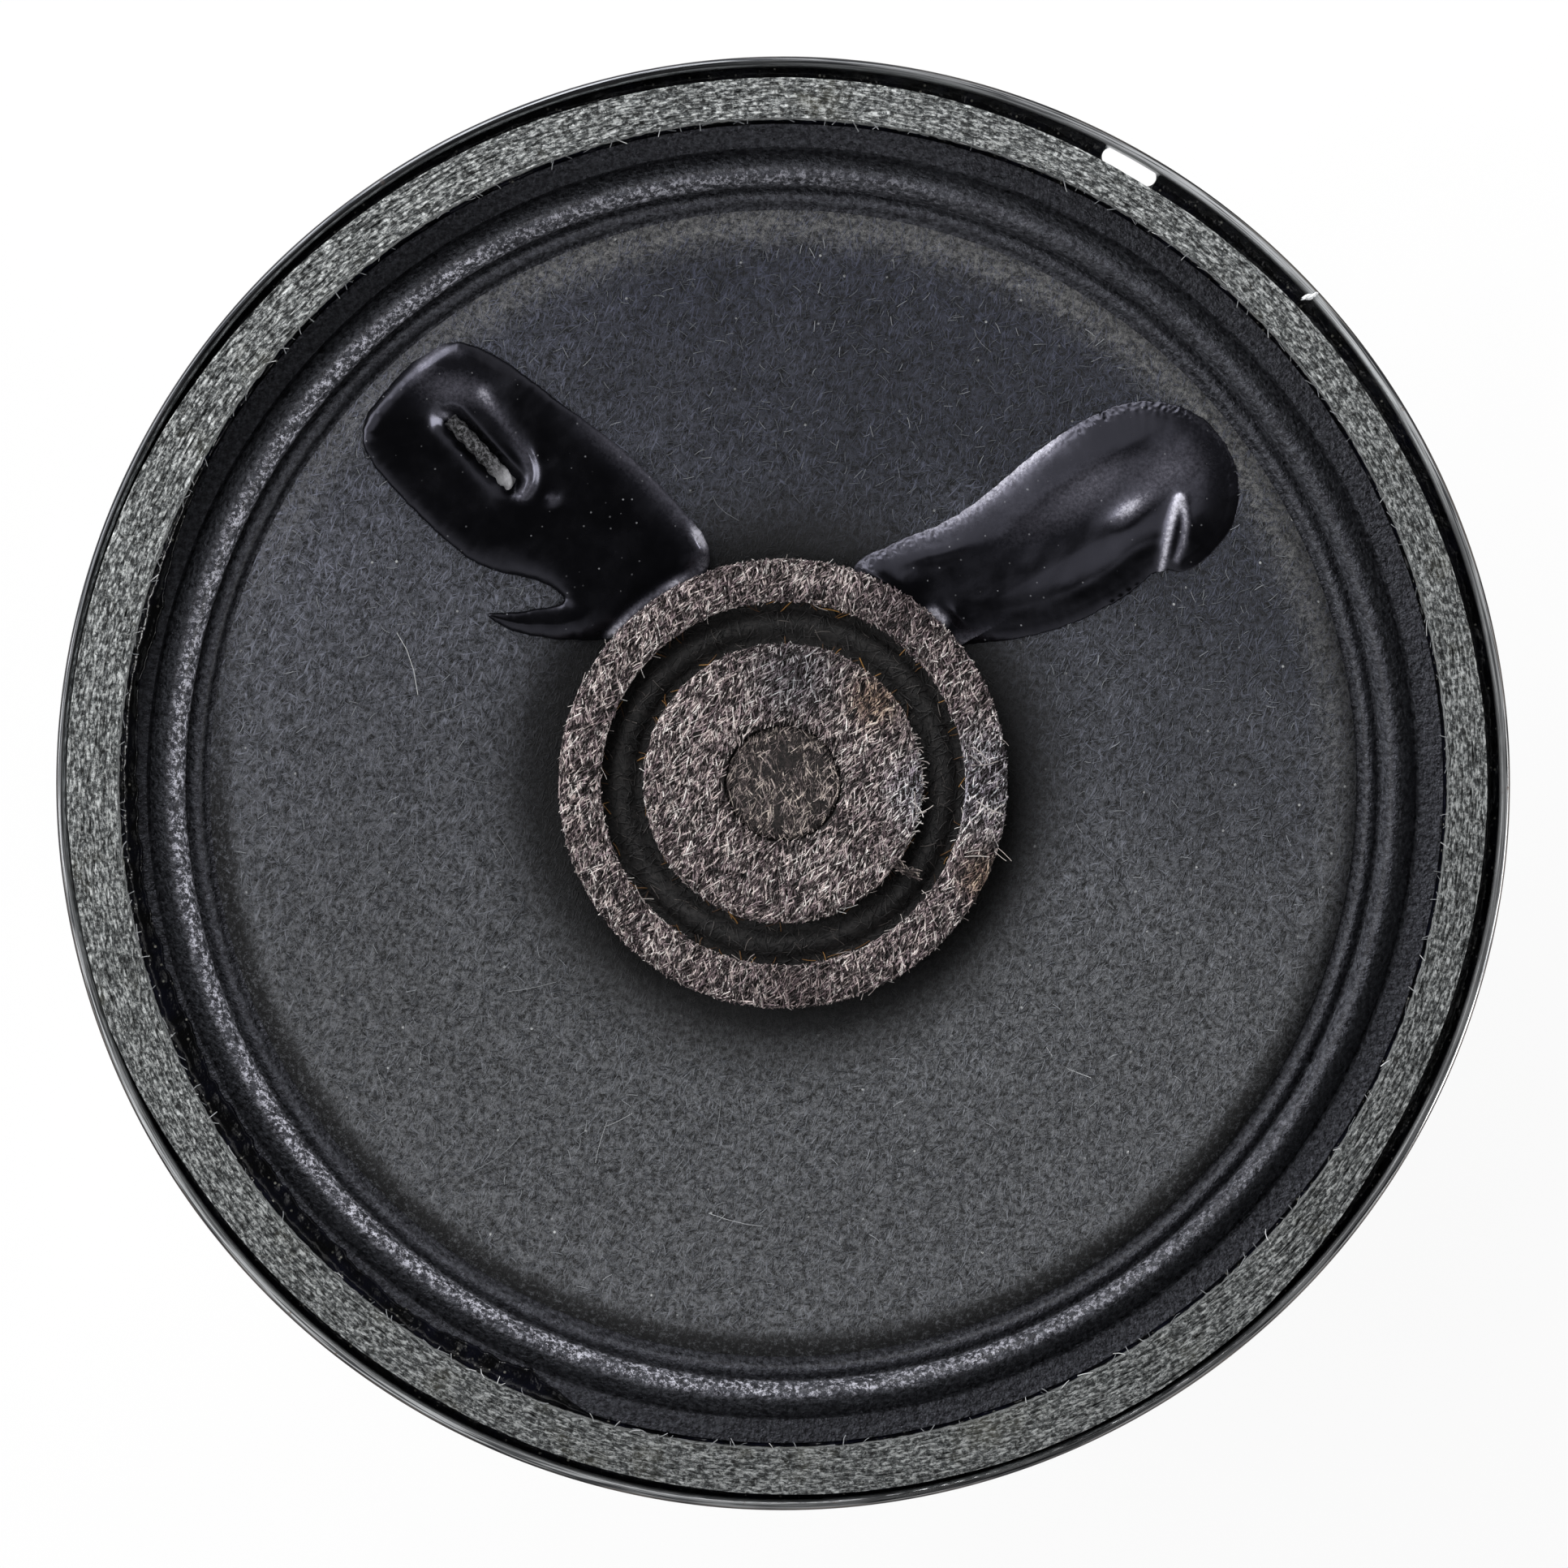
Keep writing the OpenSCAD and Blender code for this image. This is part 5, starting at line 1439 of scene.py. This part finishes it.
def right_surface(flat, height, gap):
    """The dope folded over near its end, and drew small blisters along its lower edge."""
    edge = np.minimum(gap / 0.5, 1)
    beyond = 1 / (1 + np.exp(-((flat[:, 0] - 15.85) - 0.2 * (flat[:, 1] - 9.9)) / 0.12))
    below = np.clip(4.7 - flat @ (-0.5, 0.866), 0, 2.6) * np.minimum(gap / 1.3, 1)
    height = height - (0.14 * beyond + 0.06 * below * (1 - beyond)) * edge
    height += edge * (0.13 * np.exp(-(distance_to(flat, left_crease) / 0.25) ** 2)
                      + 0.08 * np.exp(-(distance_to(flat, right_crease) / 0.15) ** 2))
    blisters = swells(flat, [(13.0 + 0.33 * k, 7.12 + 0.22 * k, 0.1, 0.08, 35, 0.05)
                             for k in range(6)])
    upper = np.clip(1 - gap / 0.7, 0, 1) * (flat[:, 1] > 0.55 * flat[:, 0] + 2.0)
    return height + blisters + 0.05 * upper * rough(flat, 0.16, 4) + edge * swells(flat, [
        (13.5, 10.65, 0.8, 0.4, 35, 0.2), (6.9, 6.7, 0.4, 0.2, 130, 0.12),
        (5.9, 9.1, 1.7, 0.32, 12, 0.1), (13.44, 8.9, 2.1, 0.7, 34, 0.1)])


def right_painted_sheen(flat, gap):
    """Painted sheen on its thin upper edge, on the creases of the fold, and before them."""
    x, y = flat.T
    upper = (y > 0.55 * x + 1.6) * np.interp(x, (3.0, 6.0, 10.5, 12.5), (0.5, 0.75, 1.0, 0.15))
    left, right = distance_to(flat, left_crease), distance_to(flat, right_crease)
    r = np.linalg.norm(flat, axis=1)
    by_felt = np.interp(np.degrees(np.arctan2(y, x)), (43, 45.5, 49, 52), (0, 0.9, 0.9, 0))
    return (0.7 * upper * np.exp(-(gap / 0.5) ** 2) + 0.22 * upper * np.exp(-(gap / 1.2) ** 2)
            + 0.95 * np.exp(-(left / 0.2) ** 2) + 0.7 * np.exp(-(right / 0.16) ** 2)
            + by_felt * np.exp(-((r - 9.05) / 0.3) ** 2)
            + swells(flat, [(13.55, 10.75, 0.85, 0.4, 35, 0.7), (10.4, 10.5, 3.4, 1.3, 30, 0.36),
                            (14.6, 11.7, 1.3, 0.7, 50, 0.3), (12.6, 12.0, 2.0, 1.0, 30, 0.36),
                            (15.9, 12.4, 1.4, 1.9, 20, 0.4)]))


poured("dope_right_patch", right_blob, right_angle, 0.56, 1.8, 0.95, right_surface, right_painted_sheen,
       "dope_right")


# Dust cap: a disc of black-dyed fibre board over the coil, with a felt ring and a felt disc.
# The board was pressed with a roll in its bare channel. The felts were die cut from grey-brown
# wool felt and cemented on, and the press that held them left a dimple in the middle.

# Black-dyed fibre board: matt, with hairs in its surface.
cap_board = grained("black_dyed_board", 0.18, 5.0, 0.75, [(0.35, "#101011"), (0.72, "#3a3838")],
                    {"Roughness": 0.8}, (0.8, 0.06))

cap_top, cap_under, skirt_r = 17.48, 17.18, 7.7
channel = wave(5.85, 6.9, cap_top, 0.3, 16)
outline = ([(0, cap_under), (0, cap_top), (5.0, cap_top)] + channel
           + [(7.4, cap_top), (cap_r, cap_top), (cap_r, cone_z(cap_r) + 0.02),
              (skirt_r, cone_z(skirt_r) + 0.02), (skirt_r, cap_under)])
piece = finished(spun("cap_moulded", outline, 240), cap_board, 50)
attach(piece, "moving_system")
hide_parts("dust_cap")

# Black fibres standing in the channel.
black_hair = hair_material("black_board_fibre", [(0.0, "#141415"), (0.6, "#2a2a2b"),
                                                 (0.92, "#454343"), (1.0, "#6d6764")], 0.7)
piece = fibres(disc_face("channel_fibres", [
    (r, z + 0.01) for r, z in [(5.45, cap_top)] + channel[::2] + [(7.3, cap_top)]]),
    0.5, 0.035, 22, 60, 90, 8, 8, black_hair)
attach(piece, "moving_system")

# Wool felt body under the hairs: brown-grey, painted nearly black as painted shade between the
# fibres.
felt_body = grained("wool_felt_body", 0.2, 5.0, 0.75, [(0.4, "#0a0808"), (0.7, "#3d3534")],
                    {"Roughness": 0.95}, (1.0, 0.1))
# Wool fibres: mixed from dark brown to pinkish grey and pale, with a dry sheen.
wool_hair = hair_material("wool_fibre", [(0.0, "#1b1515"), (0.25, "#66565a"),
                                         (0.45, "#a8969b"), (0.7, "#e4d5d1"),
                                         (1.0, "#fffaf7")], 0.75)
pressed_hair = hair_material("pressed_wool_fibre", [(0.0, "#1c1717"), (0.35, "#5a4e4e"),
                                                    (0.65, "#a59795"), (1.0, "#e8dbcf")], 0.7)
# The wool has clumped in pressing, faded grey at the right, and holds a tan stain and a few
# greyer patches
for wool_of in (wool_hair, pressed_hair):
    tree, shader = wool_of.node_tree, wool_of.node_tree.nodes["Principled BSDF"]
    clump = patches(tree, in_mm(tree), 0.3, 3.0, 0.7, 0.56, 0.4, 0.95)
    under = shader.inputs[0].links[0].from_socket
    feed(shader, {0: over(tree, under, "#4a4143", clump, way="MULTIPLY")})
tree, shader = wool_hair.node_tree, wool_hair.node_tree.nodes["Principled BSDF"]
place = in_mm(tree)
for x, y, across_mm, code, much, way in (
        (8.0, 0.2, 3.4, "#b9c6cf", 0.9, "OVERLAY"), (5.6, -0.4, 2.4, "#c4cfd6", 1.0, "OVERLAY"),
        (3.6, 3.3, 1.6, "#d8bb94", 0.65, "MULTIPLY"), (0.4, 4.3, 2.6, "#a9b2bb", 0.8, "MULTIPLY"),
        (7.9, -3.7, 1.5, "#d8bf9c", 0.7, "MULTIPLY"), (4.6, 7.2, 2.4, "#9c9298", 0.7, "MULTIPLY"),
        (0.5, -8.1, 2.4, "#9c9294", 0.7, "MULTIPLY")):
    away = add(tree, "VectorMath", {0: place, 1: (x, y, 18.3)}, operation="DISTANCE")
    near = add(tree, "MapRange", {
        "Value": away, "From Min": across_mm, "From Max": 0.2 * across_mm, "To Max": much},
        **eased)
    under = shader.inputs[0].links[0].from_socket
    feed(shader, {0: over(tree, under, code, near, way=way)})

felt_z, felt_top, felt_in_r, disc_r = 17.5, 18.4, 7.25, 5.5


def worn(points):
    """Uneven wool: the die-cut edge wanders and the face is lumpy."""
    out = points.copy()
    for i, p in enumerate(points):
        lump = noise.noise(Vector(p) / 0.5) + 0.5 * noise.noise(Vector(p) / 0.18)
        out[i, :2] *= 1 + 0.004 * lump
        out[i, 2] += 0.035 * lump * (p[2] > felt_z + 0.3)
    return out


def trimmed(piece, low_r, high_r, keep):
    """Draws the hairs that stick out past the cut edges back to a share of their reach."""
    count = len(piece.data.vertices)
    co = np.zeros(count * 3, np.float32)
    piece.data.vertices.foreach_get("co", co)
    co = co.reshape(-1, 3)
    r = np.linalg.norm(co[:, :2], axis=1)
    wanted = np.where(r > high_r * mm, high_r * mm + keep * (r - high_r * mm), r)
    wanted = np.where(r < low_r * mm, low_r * mm - keep * (low_r * mm - r), wanted)
    co[:, :2] *= (wanted / np.maximum(r, 1e-9))[:, None]
    co[:, 2] -= 0.35 * np.abs(wanted - r)
    piece.data.vertices.foreach_set("co", co.ravel())
    piece.data.update()


round_edge = 0.22
ring_face = [(felt_in_r, felt_z), (felt_in_r, felt_top - round_edge - 0.05),
             (felt_in_r + 0.08, felt_top - 0.12), (felt_in_r + round_edge, felt_top - 0.06)]
ring_face += [(felt_in_r + 0.3 + 1.0 * k / 8, felt_top - 0.05) for k in range(9)]
ring_face += [(cap_r - round_edge, felt_top - 0.06), (cap_r - 0.08, felt_top - 0.12),
              (cap_r, felt_top - round_edge - 0.05), (cap_r, felt_z)]
piece = finished(spun("felt_ring_body", ring_face, 360, worn), felt_body, 80)
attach(piece, "moving_system")
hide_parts("felt_ring")
lying = disc_face("felt_ring_fibres", [(felt_in_r + 0.02, felt_top - 0.35)] + ring_face[2:-2]
                  + [(cap_r - 0.02, felt_top - 0.35)])
piece = fibres(lying, 0.72, 0.052, 76, 66, 48, 16, 3, wool_hair)
trimmed(piece, felt_in_r - 0.02, cap_r + 0.02, 0.35)
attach(piece, "moving_system")

dimple_d = 0.25
disc_path = [(0, felt_top - dimple_d - 0.05), (0.8, felt_top - dimple_d - 0.05),
             (1.6, felt_top - dimple_d - 0.05), (2.15, felt_top - dimple_d - 0.06),
             (2.3, felt_top - 0.42), (2.42, felt_top - 0.16), (2.6, felt_top - 0.06)]
disc_path += [(r, felt_top - 0.05) for r in (2.75, 3.4, 4.2, 4.9)]
disc_path += [(5.25, felt_top - 0.07), (5.42, felt_top - 0.14), (disc_r, felt_top - 0.3)]
mesh = spun("felt_disc_body", [(0, felt_z)] + disc_path + [(disc_r, felt_z)], 300, worn)
piece = finished(mesh, felt_body, 80)
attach(piece, "moving_system")
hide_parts("felt_disc")
lying = disc_face("felt_disc_fibres", [(2.46, felt_top - 0.1)] + disc_path[6:])
piece = fibres(lying, 0.72, 0.052, 76, 62, 44, 16, 4, wool_hair)
trimmed(piece, 2.3, disc_r + 0.02, 0.35)
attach(piece, "moving_system")
# The press flattened and darkened the fibres in the dimple
lying = disc_face("felt_dimple_fibres", [(0.05, disc_path[0][1] - 0.02), (2.2, felt_top - 0.32)])
piece = fibres(lying, 0.56, 0.048, 90, 80, 55, 6, 9, pressed_hair)
trimmed(piece, 0, 2.24, 0.2)
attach(piece, "moving_system")


def swatches(name, places, side_mm):
    """Small level squares at places in mm, for a few fibres to lie on."""
    h = side_mm / 2
    points = [(x + i * h, y + j * h, z) for x, y, z in places for i, j in corners]
    return new_mesh(name, points, [tuple(range(4 * k, 4 * k + 4)) for k in range(len(places))])


# Loose hairs: pale ones fray from the cut edges, golden-brown jute ones show at the bottom of
# the felts, and a torn tuft and a few curled hairs stand at the lower right.
pale_hair = hair_material("frayed_wool", [(0.0, "#9d9391"), (0.6, "#d9d2cd"),
                                          (1.0, "#ffffff")], 0.7)
jute = hair_material("jute_fibre", [(0.0, "#3a2413"), (0.6, "#7a5426"), (1.0, "#c08e4a")], 0.6)
for surface, *laying in (
        (disc_face("frayed_edges", [(8.78, 18.16), (8.9, 18.1)], [(5.46, 18.16), (5.56, 18.1)],
                   [(7.16, 18.1), (7.28, 18.16)]), 0.6, 0.03, 5.0, 60, 90, 14, 6, pale_hair),
        (swatches("frayed_right_side", [
            (5.45 * math.cos(a), 5.45 * math.sin(a), 18.24) for a in np.linspace(-0.42, 0.34, 12)],
            0.3), 0.45, 0.05, 46, 20, 60, 16, 7, pale_hair),
        (disc_face("jute_fibres", [(5.52, 17.62), (5.66, 17.58)], [(7.06, 17.58), (7.22, 17.62)]),
         0.6, 0.045, 7.0, 60, 90, 8, 8, jute),
        (swatches("torn_tuft", [(4.55, -3.2, 18.24), (4.75, -3.4, 18.16), (4.95, -3.5, 18.08),
                                (5.15, -3.6, 18.0)], 0.34), 0.5, 0.05, 70, -30, 40, 14, 9,
         pressed_hair),
        (swatches("curled_hairs", [(7.7, -2.8, 18.46), (8.3, -1.2, 18.46), (7.8, 0.9, 18.46),
                                   (8.6, -2.9, 18.4), (5.5, -0.9, 18.42)], 0.5),
         0.9, 0.045, 9.0, -15, 80, 8, 10, pale_hair)):
    piece = fibres(surface, *laying)
    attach(piece, "moving_system")
